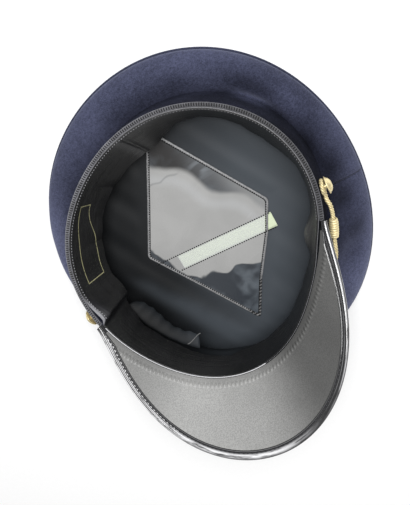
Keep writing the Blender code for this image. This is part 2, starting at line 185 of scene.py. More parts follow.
# Soft folds of the wool beside the band: angle, share of the way, half width in degrees, half
# width as a share of the way, height
WOOL_FOLDS = (
    (41, 0.05, 13, 0.07, 0.0022),
    (42, 0.25, 15, 0.10, -0.0027),
    (24, 0.17, 7, 0.10, -0.0012),
    (9, 0.06, 12, 0.13, -0.0026),
    (8, 0.46, 11, 0.15, 0.0008),
    (59, 0.40, 9, 0.14, -0.0014),
    (74, 0.50, 9, 0.20, 0.0008),
    (84, 0.10, 9, 0.12, -0.0012),
    (101, 0.22, 13, 0.12, -0.0014),
    (121, 0.50, 13, 0.20, 0.0008),
    (141, 0.18, 9, 0.12, -0.0010),
    (166, 0.50, 11, 0.20, -0.0007),
    (346, 0.36, 6, 0.24, -0.0022),
    (335, 0.52, 6, 0.24, 0.0010),
    (326, 0.46, 5, 0.20, -0.0014),
    (317, 0.60, 6, 0.20, 0.0006),
)
# Painted light and shade of the wool, lighter on its lit folds and darker in its shaded valleys:
# angle, half width in degrees, share of the way, half width, gain
WOOL_PAINTED_LIGHT = (
    (42, 11, 0.00, 0.26, 0.85),
    (47, 12, 0.42, 0.26, -0.18),
    (28, 10, 0.38, 0.34, 0.45),
    (12, 12, 0.06, 0.34, -0.20),
    (2, 8, 0.30, 0.40, -0.25),
    (75, 22, 0.30, 0.30, -0.12),
    (-12, 8, 0.40, 0.40, -0.35),
    (-24, 9, 0.58, 0.30, -0.40),
    (-36, 9, 0.62, 0.30, -0.35),
    (-20, 16, 0.98, 0.30, 0.20),
)
# Lift of the wool from band to welt: share of the way, share of the swell
WOOL_ROWS = (
    (0.00, 0.00),
    (0.02, 0.26),
    (0.06, 0.46),
    (0.12, 0.62),
    (0.22, 0.80),
    (0.38, 0.96),
    (0.56, 1.00),
    (0.74, 0.93),
    (0.88, 0.70),
    (0.96, 0.38),
    (1.00, 0.00),
)

# Clear shield on the lining, its piping, and the slip under it
SHIELD_LENGTH = 0.1820
SHIELD_WIDTH = 0.1090
SHIELD_RIGHT = -0.0046
SHIELD_BACK = -0.0016
SHIELD_SHEET = 0.0005
SHIELD_WAVE = 0.00018
PIPING_WIDTH = 0.0022
PIPING_HEIGHT = 0.0008
SHIELD_CORNERS = (
    (-1.000, -0.010),
    (-0.530, -0.455),
    (0.030, -1.000),
    (0.350, -0.650),
    (0.770, -0.275),
    (0.900, -0.120),
    (1.000, -0.010),
    (0.430, 0.555),
    (-0.020, 1.000),
    (-0.220, 0.785),
    (-0.575, 0.420),
)
SLIP_LENGTH = 0.0830
SLIP_WIDTH = 0.0126
SLIP_SHEET = 0.0003
SLIP_RIGHT = 0.0047
SLIP_BACK = -0.0186
SLIP_TURN = math.radians(-0.8)
# Soft edge of the clear patch of vinyl over the slip
SLIP_EDGE = 0.0004
# Pitch of the bunched stitches at the piping's front tip
TIP_STITCH_PITCH = 0.0026

# Peak
PEAK_LENGTH = 0.0628
PEAK_END = 0.0052
PEAK_POWER = 1.4
PEAK_SPREAD = math.radians(78)
PEAK_SLOPE = math.radians(45)
PEAK_INSET = 0.0016
PEAK_CAMBER = 0.0015
PEAK_BOARD = 0.0015
PEAK_LINING = 0.0008
PEAK_LINING_START = 0.0012
PEAK_BEAD = 0.0019
PEAK_FLANGE = 0.0062
PEAK_FLANGE_WALL = 0.0008
# Pitch of the stitch bumps pressed into the peak's lining
PEAK_BUMP_PITCH = 0.0030

# Chin cord, its slides and its buttons
CORD_DIAMETER = 0.0032
CORD_SLACK = 0.0075
CORD_STEP = 0.0006
# Radius of one strand as a share of the cord's
STRAND_SHARE = 0.52
# Share of the angle from the front to the button, drop as a share of the band's depth, slack share
CORD_ROUTE = (
    (0.94, 0.380, 0.00),
    (0.90, 0.385, 0.30),
    (0.84, 0.470, 0.44),
    (0.74, 0.580, 0.60),
    (0.63, 0.650, 1.00),
    (0.50, 0.660, 0.62),
    (0.33, 0.620, 0.16),
    (0.17, 0.590, 0.02),
)
SLIDE_SHARE = 0.79
SLIDE_LENGTH = 0.0150
SLIDE_DIAMETER = 0.0070
SLIDE_ROWS = ((0.00, 0.80), (0.12, 0.96), (0.50, 1.00), (0.88, 0.96), (1.00, 0.80))
# Depth of the grooves between a slide's turns
SLIDE_GROOVE = 0.00075
BUTTON_DIAMETER = 0.0125
BUTTON_DOME = 0.0038
BUTTON_SHANK = 0.0036
BUTTON_DROP = 0.0095
BUTTON_RIGHT = math.radians(-1)
BUTTON_LEFT = math.radians(-172)

# Camera: its place, its own axes and its lens
CAMERA_PLACE = (0.122916, 0.144935, 0.479259)
CAMERA_RIGHT = (0.86904829, -0.48745159, -0.08453407)
CAMERA_UP = (0.41741207, 0.81417134, -0.40359904)
CAMERA_BACK = (0.26556021, 0.31546152, 0.91102239)
CAMERA_LENS = 46.5

# Floor: half its width, and its height
FLOOR_HALF = 4.0
FLOOR_LEVEL = -0.0002

FRONT = -math.pi / 2
RIM_CENTRE = np.array((RIM_SHIFT_RIGHT, RIM_SHIFT_BACK, RIM_HEIGHT))
LINING_TOP = WOOL + CLEAR + LINING
SLIP_TOP = LINING_TOP + CLEAR + SLIP_SHEET
SHIELD_FLOOR = SLIP_TOP + CLEAR
BAND_TOP = BINDING_HEIGHT + CLEAR
UP = np.array((0.0, 0.0, 1.0))

# Length, width and height of the beads in each row
RIB_BEAD = (0.00095, BAND_WALL * 1.06, 0.0022)
RIM_STITCH = (0.0012, 0.0007, 0.0007)
SHIELD_STITCH = (0.0013, 0.0012, 0.0005)
SHIELD_STITCH_PITCH = 0.0019
SHIELD_STITCH_LIFT = 0.00025
PEAK_STITCH = (0.0023, 0.0008, 0.0007)
# Settings of a row of beads that are plain numbers
BEAD_NUMBERS = ("Pitch", "Length", "Width", "Height", "Lean", "Wander")

# Radius of the binding's rails, and of the pale tubes painted as highlights on the leather's folded
# edge and its lip, and the distance between their points
RAIL_RADIUS = 0.00034
FOLD_RADIUS = 0.0003
LIP_RADIUS = 0.0004
EDGE_STEP = 0.0015
# How far in from the rim the leather's stitches lie
RIM_STITCH_DROP = 0.0012


# Shape


def plan(angle, length, width, waves):
    """Points of a closed plan curve, and the ways out from its centre there."""
    share = 1.0
    for n, c, s in waves:
        share = share + c * np.cos(n * angle) + s * np.sin(n * angle)
    x = width / 2 * np.cos(angle) * share
    y = length / 2 * np.sin(angle) * share
    size = np.hypot(x, y)
    return x, y, x / size, y / size


def band_point(angle, out, drop):
    """Points at a distance out from the rim's edge and down into the cap from the rim's plane."""
    angle, out, drop = np.broadcast_arrays(angle, out, drop)
    x, y, right, back = plan(angle, RIM_LENGTH, RIM_WIDTH, RIM_WAVES)
    x, y = x + right * out, y + back * out
    cos, sin = math.cos(RIM_PITCH), -math.sin(RIM_PITCH)
    spot = np.stack([x, cos * y + sin * drop, sin * y - cos * drop], -1)
    return spot + RIM_CENTRE


def crown_point(angle, inset, height):
    """Points inside the welt's outer edge, at a height above the floor."""
    angle, inset, height = np.broadcast_arrays(angle, inset, height)
    x, y, right, back = plan(angle, CROWN_LENGTH, CROWN_WIDTH, CROWN_WAVES)
    return np.stack([x - right * inset, y - back * inset, height + 0 * x], -1)


def round_way(angle):
    return np.stack([-np.sin(angle), np.cos(angle), 0 * angle], -1)


def unit(vectors):
    return vectors / np.maximum(np.linalg.norm(vectors, axis=-1, keepdims=True), 1e-12)


def bell(offset, half_width):
    return np.exp(-((offset / half_width) ** 2))


def turn_from(angle, degrees):
    """Signed angle in degrees from a middle given in degrees."""
    return (np.degrees(angle) - degrees + 180) % 360 - 180


def walled(lines, side, wall):
    """Closed sections of a wall of this thickness behind rows of points (n, m, 3)."""
    along = np.gradient(lines, axis=1)
    back = lines + unit(np.cross(side[:, None, :], along)) * wall
    return np.concatenate([lines, back[:, ::-1]], axis=1)


def smooth_share(table, angle):
    """The table's value at angles in degrees, eased from row to row and round again."""
    rows = np.array(list(table) + [(table[0][0] + 360, table[0][1])])
    angle = angle % 360
    place = np.clip(np.searchsorted(rows[:, 0], angle, side="right") - 1, 0, len(rows) - 2)
    share = (angle - rows[place, 0]) / (rows[place + 1, 0] - rows[place, 0])
    eased = (3 - 2 * share) * share**2
    return rows[place, 1] + (rows[place + 1, 1] - rows[place, 1]) * eased


def smooth_line(points, steps, closed=False):
    """A smooth line through the points, with this many steps from each point to the next."""
    points = np.asarray(points, float)
    if closed:
        ends = np.concatenate([points[-1:], points, points[:2]])
    else:
        first = points[:1] * 2 - points[1:2]
        last = points[-1:] * 2 - points[-2:-1]
        ends = np.concatenate([first, points, last])
    line = []
    for before, a, b, after in zip(ends, ends[1:], ends[2:], ends[3:]):
        for s in np.arange(steps) / steps:
            line.append(
                (
                    a * 2
                    + (b - before) * s
                    + (before * 2 - a * 5 + b * 4 - after) * s**2
                    + (a * 3 - b * 3 + after - before) * s**3
                )
                / 2
            )
    if not closed:
        line.append(points[-1])
    return np.array(line)


def full_turn(count):
    """Even angles round a full turn."""
    return np.arange(count) * math.tau / count


def reach_along(line):
    """Distance along a line at each of its points."""
    return np.concatenate([[0], np.cumsum(np.linalg.norm(np.diff(line, axis=0), axis=1))])


def resampled(line, spacing):
    """The line again, with even steps of about this spacing."""
    reach = reach_along(line)
    even = np.linspace(0, reach[-1], max(2, round(reach[-1] / spacing) + 1))
    return np.stack([np.interp(even, reach, line[:, i]) for i in range(3)], -1)


def carried_frames(line):
    """Ways across a line and up from it, carried along it without twisting."""
    along = unit(np.gradient(line, axis=0))
    across = np.zeros_like(along)
    way = unit(np.cross(along[0], UP))
    for i, ahead in enumerate(along):
        way = unit(way - ahead * way.dot(ahead))
        across[i] = way
    return across, np.cross(across, along)


def ways_round(across, rise, turn):
    """Ways out from a line at these angles round it."""
    return across * np.cos(turn)[..., None] + rise * np.sin(turn)[..., None]


def at_height(outline, height):
    """Plan points (n, 2), all at one height."""
    return np.column_stack([outline, np.full(len(outline), height)])


# Meshes


def add_piece(mesh, finish, slot, *nodes):
    """Puts a finished mesh in the scene as a piece that rides the cap and stands for CAD nodes."""
    mesh.materials.clear()
    mesh.materials.append(finish)
    obj = bpy.data.objects.new(mesh.name, mesh)
    bpy.context.scene.collection.objects.link(obj)
    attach(obj, "root")
    if nodes:
        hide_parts(*nodes)


def shell_mesh(name, sections, closed, lie=None, poles=False, sharp=50):
    """A closed surface through rings of points (n, m, 3), capped or joined end to end.

    With poles, each row runs from one pole to the other. lie gives the pattern's place (n + 1, m, 2).
    """
    n, m = sections.shape[:2]
    places_round = np.arange(n if closed else n - 1)
    places_along = np.arange(m - 1 if poles else m)
    i, k = (grid.ravel() for grid in np.meshgrid(places_round, places_along, indexing="ij"))
    there, on = (i + 1) % n, (k + 1) % m
    faces = np.stack([i * m + k, i * m + on, there * m + on, there * m + k], -1)
    if lie is None:
        places = np.zeros((len(faces), 4, 2))
    else:
        places = np.stack([lie[i, k], lie[i, k + 1], lie[i + 1, k + 1], lie[i + 1, k]], 1)
    if not closed:
        half = np.arange(m // 2 - 1)
        cap = np.stack([half, half + 1, m - 2 - half, m - 1 - half], -1)
        faces = np.concatenate([faces, cap, cap + (n - 1) * m])
        places = np.concatenate([places, np.zeros((2 * len(cap), 4, 2))])
    mesh = bpy.data.meshes.new(name)
    mesh.from_pydata(sections.reshape(-1, 3), [], faces.tolist())
    layer = mesh.uv_layers.new(name="lie")
    layer.data.foreach_set("uv", places.reshape(-1).astype(np.float32))
    work = bmesh.new()
    work.from_mesh(mesh)
    if poles:
        bmesh.ops.remove_doubles(work, verts=work.verts, dist=1e-7)
    bmesh.ops.recalc_face_normals(work, faces=work.faces)
    work.to_mesh(mesh)
    work.free()
    mesh.polygons.foreach_set("use_smooth", [True] * len(mesh.polygons))
    mesh.set_sharp_from_angle(angle=math.radians(sharp))
    return mesh


def joined(name, meshes):
    """One mesh of several."""
    work = bmesh.new()
    for mesh in meshes:
        work.from_mesh(mesh)
    made = bpy.data.meshes.new(name)
    work.to_mesh(made)
    work.free()
    for mesh in meshes:
        bpy.data.meshes.remove(mesh)
    made.polygons.foreach_set("use_smooth", [True] * len(made.polygons))
    return made


def tube_mesh(name, line, radius, sides=6, closed=False):
    """A round tube along a line."""
    across, rise = carried_frames(line)
    ring = ways_round(across[:, None], rise[:, None], full_turn(sides))
    return shell_mesh(name, line[:, None] + ring * radius, closed)


def plate_mesh(name, outline, rings, bottom, top):
    """A plate over a star-shaped outline (n, 2), from a flat bottom to a height that varies."""
    middle = outline.mean(axis=0)
    spots = middle + (outline - middle)[:, None] * np.linspace(0, 1, rings)[:, None]
    x, y = spots[..., 0], spots[..., 1]
    upper = np.stack([x, y, top(x, y)], -1)
    lower = np.stack([x, y, bottom + 0 * x], -1)[:, ::-1]
    return shell_mesh(name, np.concatenate([upper, lower], axis=1), True, poles=True)


# Nodes


def feed(tree, socket, value):
    """Links a socket to another one, or sets its value."""
    if isinstance(value, Term):
        value = value.socket
    if isinstance(value, bpy.types.NodeSocket):
        tree.links.new(value, socket)
    else:
        socket.default_value = value


def add_node(tree, kind, sockets=None, out=0, **settings):
    """Adds a node, sets it up and feeds its sockets, and returns one of its outputs."""
    made = tree.nodes.new(kind)
    for key, value in settings.items():
        setattr(made, key, value)
    for key, value in (sockets or {}).items():
        feed(tree, made.inputs[key], value)
    return made.outputs[out]


# Rows of stitches and ribs


def bead_row_tree():
    """Geometry Nodes that set one small rounded bead after another along lines."""
    tree = bpy.data.node_groups.get("Bead Row")
    if tree:
        return tree
    tree = bpy.data.node_groups.new("Bead Row", "GeometryNodeTree")
    given = [("Lines", "Geometry")] + [(name, "Float") for name in BEAD_NUMBERS]
    for name, kind in given + [("Seed", "Int"), ("Finish", "Material")]:
        tree.interface.new_socket(name, in_out="INPUT", socket_type="NodeSocket" + kind)
    tree.interface.new_socket("Beads", in_out="OUTPUT", socket_type="NodeSocketGeometry")

    def node(kind, sockets=None, out=0, **settings):
        return add_node(tree, kind, sockets, out, **settings)

    given = tree.nodes.new("NodeGroupInput").outputs
    curve = node("GeometryNodeMeshToCurve", {"Mesh": given["Lines"]})
    even = node("GeometryNodeResampleCurve", {"Curve": curve, "Length": given["Pitch"]}, mode="LENGTH")
    ball = node("GeometryNodeMeshUVSphere", {"Segments": 8, "Rings": 6, "Radius": 0.5})
    sides = {"X": given["Length"], "Y": given["Width"], "Z": given["Height"]}
    size = node("ShaderNodeCombineXYZ", sides)
    shaped = node("GeometryNodeTransform", {"Geometry": ball, "Scale": size})
    along = node("GeometryNodeInputTangent")
    up = node("GeometryNodeInputNamedAttribute", {"Name": "up"}, data_type="FLOAT_VECTOR")
    ahead = node("FunctionNodeAlignEulerToVector", {"Vector": along}, axis="X")
    upright = node(
        "FunctionNodeAlignEulerToVector", {"Rotation": ahead, "Vector": up}, axis="Z", pivot_axis="X"
    )
    low = node("ShaderNodeMath", {0: given["Wander"], 1: -1.0}, operation="MULTIPLY")
    chance = {2: low, 3: given["Wander"], "Seed": given["Seed"]}
    loose = node("FunctionNodeRandomValue", chance, out=1, data_type="FLOAT")
    lean = node("ShaderNodeMath", {0: given["Lean"], 1: loose}, operation="ADD")
    turned = node("ShaderNodeCombineXYZ", {"Z": lean})
    leaning = node(
        "FunctionNodeRotateEuler", {"Rotation": upright, "Rotate By": turned}, space="LOCAL"
    )
    beads = node(
        "GeometryNodeInstanceOnPoints", {"Points": even, "Instance": shaped, "Rotation": leaning}
    )
    real = node("GeometryNodeRealizeInstances", {"Geometry": beads})
    soft = node("GeometryNodeSetShadeSmooth", {"Geometry": real})
    done = node("GeometryNodeSetMaterial", {"Geometry": soft, "Material": given["Finish"]})
    tree.links.new(done, tree.nodes.new("NodeGroupOutput").inputs["Beads"])
    return tree


def bead_row(name, rows, pitch, size, finish, lean=0.0, wander=0.0, seed=1):
    """A mesh of beads along rows of (points, ways up), each of this length, width and height."""
    points, ups, edges = [], [], []
    for line, up in rows:
        start = len(points)
        points += [tuple(spot) for spot in line]
        ups += [tuple(way) for way in np.broadcast_to(up, line.shape)]
        edges += [(i, i + 1) for i in range(start, len(points) - 1)]
    guide = bpy.data.meshes.new(name + "_guide")
    guide.from_pydata(points, edges, [])
    ways = guide.attributes.new("up", "FLOAT_VECTOR", "POINT")
    ways.data.foreach_set("vector", np.array(ups, np.float32).reshape(-1))
    obj = bpy.data.objects.new(name + "_guide", guide)
    bpy.context.scene.collection.objects.link(obj)
    modifier = obj.modifiers.new("Beads", "NODES")
    modifier.node_group = bead_row_tree()
    given = dict(zip(BEAD_NUMBERS, (pitch, *size, lean, wander)), Seed=seed, Finish=finish)
    for item in modifier.node_group.interface.items_tree:
        if item.name in given:
            modifier[item.identifier] = given[item.name]
    graph = bpy.context.evaluated_depsgraph_get()
    made = bpy.data.meshes.new_from_object(obj.evaluated_get(graph))
    made.name = name
    obj.modifiers.clear()
    bpy.data.objects.remove(obj)
    bpy.data.meshes.remove(guide)
    if not made.polygons:
        raise RuntimeError(name + " came out empty")
    return made


# Finishes


class Term:
    """A number from a node, for sums written in Python."""

    def __init__(self, finish, socket):
        self.finish = finish
        self.socket = socket

    def __add__(self, other):
        return self.finish.maths("ADD", self, other)

    def __sub__(self, other):
        return self.finish.maths("SUBTRACT", self, other)

    def __rsub__(self, other):
        return self.finish.maths("SUBTRACT", other, self)

    def __mul__(self, other):
        return self.finish.maths("MULTIPLY", self, other)

    def __abs__(self):
        return self.finish.maths("ABSOLUTE", self)

    __radd__ = __add__
    __rmul__ = __mul__


class Finish:
    """A material under construction, with one way to add any node."""

    def __init__(self, name, **shader):
        self.material = bpy.data.materials.new(name)
        self.material.use_nodes = True
        self.tree = self.material.node_tree
        self.shader = self.tree.nodes["Principled BSDF"]
        self.wear(**shader)

    def wear(self, **values):
        """Feeds the shader's own sockets, and returns the material."""
        for key, value in values.items():
            name = key.replace("_", " ").title().replace("Ior", "IOR")
            feed(self.tree, self.shader.inputs[name], value)
        return self.material

    def node(self, kind, sockets=None, out=0, **settings):
        return Term(self, add_node(self.tree, "ShaderNode" + kind, sockets, out, **settings))

    def maths(self, operation, *values):
        return self.node("Math", dict(enumerate(values)), operation=operation)

    def most(self, a, b):
        return self.maths("MAXIMUM", a, b)

    def wave(self, value):
        return self.maths("SINE", value)

    def step(self, value, low, high):
        """0 below low and 1 above high, eased in between."""
        sockets = {"Value": value, "From Min": low, "From Max": high}
        return self.node("MapRange", sockets, interpolation_type="SMOOTHSTEP")

    def fade(self, value, low, high):
        """1 below low and 0 above high, eased in between."""
        return 1 - self.step(value, low, high)

    def span(self, value, start, full, fading, end):
        """1 from full to fading, eased to 0 at start and end."""
        return self.step(value, start, full) * self.fade(value, fading, end)

    def near(self, offset, half_width):
        """1 at no offset, eased to 0 at the half width."""
        return self.fade(abs(offset), 0.0, half_width)

    def place(self, stretch=(1, 1, 1), turn=0.0, shift=(0, 0, 0)):
        """Object coordinates, turned about Z, moved and stretched."""
        spot = self.node("TexCoord", out=3)
        sockets = {"Vector": spot, "Rotation": (0, 0, turn), "Scale": stretch, "Location": shift}
        return self.node("Mapping", sockets)

    def lie(self, stretch=(1, 1, 1)):
        """The piece's own surface coordinates, in metres along and across it."""
        return self.node("Mapping", {"Vector": self.node("UVMap", uv_map="lie"), "Scale": stretch})

    def split(self, vector):
        return [self.node("SeparateXYZ", {"Vector": vector}, i) for i in range(3)]

    def on_slip(self):
        """Places along and across the slip, from its middle."""
        turned = self.place(turn=-SLIP_TURN, shift=(-SLIP_RIGHT, -SLIP_BACK, 0))
        return self.split(turned)[:2]

    def noise(self, place, scale, detail=2.0, roughness=0.5, distortion=0.0):
        names = ("Vector", "Scale", "Detail", "Roughness", "Distortion")
        return self.node("TexNoise", dict(zip(names, (place, scale, detail, roughness, distortion))))

    def cells(self, place, scale, feature="F1", **more):
        return self.node("TexVoronoi", {"Vector": place, "Scale": scale, **more}, feature=feature)

    def mix(self, factor, a, b):
        """A colour between two colours."""
        pair = [(*colour, 1) if isinstance(colour, tuple) else colour for colour in (a, b)]
        return self.node("Mix", {0: factor, 6: pair[0], 7: pair[1]}, out=2, data_type="RGBA")

    def tones(self, factor, colour, low, high):
        """A colour between two shades of one colour."""
        return self.mix(factor, shade(colour, low), shade(colour, high))

    def dimmed(self, colour, share):
        """A colour times a number, or times another colour."""
        sockets = {0: 1.0, 6: colour, 7: share}
        return self.node("Mix", sockets, out=2, data_type="RGBA", blend_type="MULTIPLY")

    def bump(self, height, depth, strength, over=None):
        """A normal from a height, for which 1 stands for this depth."""
        sockets = {"Height": height, "Distance": depth, "Strength": strength}
        if over is not None:
            sockets["Normal"] = over
        return self.node("Bump", sockets)


def shade(colour, factor=1.0):
    return tuple(channel * factor for channel in colour)


def past_lower_left(x, y):
    """Distance out past the shield's lower left edge."""
    return 0 - (x + 0.0591) * 0.85 - (y + 0.0025) * 0.53


def wool_finish(name, look, lightness=1.0, bloom=1.0, around=False):
    """Dense napped wool: fine fibres, a soft mottle and a bluish bloom.

    Where it goes round the head its lie gives the angle, and a share that is 0 where the band meets
    the panels. There it has painted shade by the rim and to the right, painted light towards the
    welt, the left and the front, and painted light and shade over its folds.
    """
    finish = Finish(
        name,
        roughness=0.95,
        sheen_weight=look.bloom * bloom,
        sheen_roughness=0.5,
        sheen_tint=(0.62, 0.66, 0.88, 1),
        specular_ior_level=0.04,
    )
    place = finish.place()
    fibres = finish.noise(finish.place((1.0, 1.6, 1.0), turn=0.5), 950, 3.0, 0.65)
    grain = finish.noise(place, 420, 3.0, 0.6)
    mottle = finish.noise(place, 26, 2.0, 0.5)
    tone = finish.step(fibres * 0.55 + grain * 0.30 + mottle * 0.15, 0.34, 0.66)
    colour = finish.tones(tone, shade(look.wool, lightness), 0.58, 1.45)
    if around:
        angle, share, _ = finish.split(finish.lie())
        right, back, _ = finish.split(place)
        # Painted light and shade: lighter towards the welt, the left and the front, darker by the rim
        # and to the right, lighter and darker over the folds, and darker along the right seam
        left = finish.fade(right, -0.120, -0.055) * finish.fade(back, 0.035, 0.095)
        front = finish.fade(back, -0.085, -0.045)
        lit = finish.most(left, front * 0.55)
        level = 0.38 + finish.step(share, -0.15, 0.85) * 0.82 + lit * 0.90
        level = level - finish.step(right, 0.030, 0.110) * (1 - front) * 0.22
        for turn, spread, middle, reach, gain in WOOL_PAINTED_LIGHT:
            spot = finish.near(angle - math.radians(turn), math.radians(spread))
            level = level + spot * finish.near(share - middle, reach) * gain
        seam = finish.near(angle - SEAM_RIGHT, math.radians(0.55)) * finish.step(share, 0.1, 0.3)
        level = level - seam * 0.45
        colour = finish.dimmed(colour, level + (mottle - 0.5) * 0.4)
    nap = fibres * 0.6 + grain * 0.4
    return finish.wear(base_color=colour, normal=finish.bump(nap, 0.0007, 0.55))


def binding_finish(name, look, tone):
    """Ribbed thread of the binding, with painted shade that darkens it to the wearer's right."""
    finish = Finish(name, roughness=0.75, sheen_weight=0.25, specular_ior_level=0.3)
    threads = finish.noise(finish.place(), 1800, 2.0, 0.6)
    patch = finish.noise(finish.place(), 160, 2.0, 0.5)
    level = finish.step(threads * 0.6 + patch * 0.4, 0.35, 0.65)
    colour = finish.tones(level, shade(look.binding, tone), 0.55, 1.35)
    right = finish.split(finish.place())[0]
    # Painted shade: darker to the wearer's right
    colour = finish.dimmed(colour, 1.15 - finish.step(right, -0.040, 0.080) * 0.60)
    return finish.wear(base_color=colour, normal=finish.bump(threads, 0.0004, 0.5))


def leather_finish(name, look):
    """Thin black leather: fine pores, long soft creases, painted sheen and painted highlights where it
    bends.
    """
    finish = Finish(name, specular_ior_level=0.35)
    place = finish.place()
    pores = finish.cells(place, 1500)
    creases = finish.noise(finish.lie((30, 240, 1)), 1.0, 4.0, 0.6, 0.8)
    patch = finish.noise(place, 60, 3.0, 0.6)
    along, deep, _ = finish.split(finish.lie())
    # Thin gold line round a label panel on the left of the leather, wider towards the front
    off_along = abs(along - LABEL_ALONG) - LABEL_LENGTH / 2
    ahead = finish.step(along, LABEL_ALONG - LABEL_LENGTH / 2, LABEL_ALONG + 0.005)
    middle = LABEL_DEEP[0] + ahead * (LABEL_DEEP[1] - LABEL_DEEP[0])
    half = LABEL_HALF[0] + ahead * (LABEL_HALF[1] - LABEL_HALF[0])
    edge = abs(finish.most(off_along, abs(deep - middle) - half))
    line = finish.fade(edge, LABEL_LINE * 0.35, LABEL_LINE * 0.65)
    gilt = line * finish.step(finish.noise(place, 900, 2.0, 0.6), 0.25, 0.5)
    skin = finish.tones(finish.step(patch, 0.3, 0.7), look.leather, 0.7, 1.6)
    # Painted sheen beside the rim at the back, along the back seam and on the bulge by the peak's right
    # end, and painted light and a painted highlight where it is folded over at the left end of the peak
    painted_sheen = finish.near(along - 0.270, 0.080) * finish.fade(deep, 0.0005, 0.018)
    painted_sheen = painted_sheen + finish.near(along - 0.3135, 0.0075) * 0.8
    painted_sheen = painted_sheen + finish.near(along - 0.114, 0.016) * finish.near(deep - 0.016, 0.013) * 0.9
    skin = finish.mix(painted_sheen * (0.35 + patch), skin, (0.050, 0.050, 0.052))
    folded = finish.span(along, 0.440, 0.455, 0.4675, 0.4700)
    skin = finish.mix(folded * finish.fade(deep, 0.002, 0.009) * 0.6, skin, (0.032, 0.032, 0.036))
    gleam = folded * finish.fade(deep + (patch - 0.5) * 0.004, 0.0002, 0.0010)
    skin = finish.mix(gleam * 0.7, skin, (0.30, 0.30, 0.32))
    colour = finish.mix(gilt, skin, shade(look.gilt))
    normal = finish.bump(creases, 0.0012, 0.4, finish.bump(pores, 0.0002, 0.3))
    return finish.wear(base_color=colour, roughness=0.26 + patch * 0.20, normal=normal)


def thread_finish(name, colour, roughness=0.6):
    """Thread of one colour, with fine darker strands."""
    finish = Finish(name, roughness=roughness, specular_ior_level=0.4)
    strands = finish.noise(finish.place(), 2600, 2.0, 0.6)
    shades = finish.tones(finish.step(strands, 0.3, 0.7), colour, 0.65, 1.2)
    return finish.wear(base_color=shades, normal=finish.bump(strands, 0.0002, 0.5))


def satin_finish(name, look, lightness=1.0, bloom=0.12):
    """Slate satin: a fine slanting weave, a silky bloom, and painted light and shade: lighter to the
    wearer's right and the front, and over the folds by the shield.
    """
    finish = Finish(
        name,
        sheen_weight=bloom,
        sheen_roughness=0.35,
        sheen_tint=(0.62, 0.70, 0.80, 1),
        specular_ior_level=0.12 + bloom * 1.5,
    )
    across, along, _ = finish.split(finish.place(turn=math.radians(35)))
    threads = finish.wave(across * 7200) * 0.5 + finish.wave(along * 5200) * 0.25
    cloud = finish.noise(finish.place(), 26, 3.0, 0.5, 0.4)
    right, back, _ = finish.split(finish.place())
    # Painted light to the wearer's right and the front, painted shade to the left and the back
    painted_light = finish.step(right - back * 0.50, -0.090, 0.075) + (cloud - 0.5) * 0.25
    # Painted light on a fold along the shield's lower left edge, between two folds with painted shade
    down = past_lower_left(right, back)
    beside = finish.step(down, 0.0, 0.004) * finish.fade(back, -0.030, 0.000)
    ridge = finish.near(down - 0.0235 + (cloud - 0.5) * 0.008, 0.0140)
    painted_light = painted_light + beside * (ridge * 0.42 - 0.10)
    base = shade(look.satin, lightness)
    colour = finish.tones(finish.step(painted_light, -0.05, 1.05), base, 0.14, 1.95)
    normal = finish.bump(threads, 0.0001, 0.25)
    return finish.wear(base_color=colour, roughness=0.46 + cloud * 0.16, normal=normal)


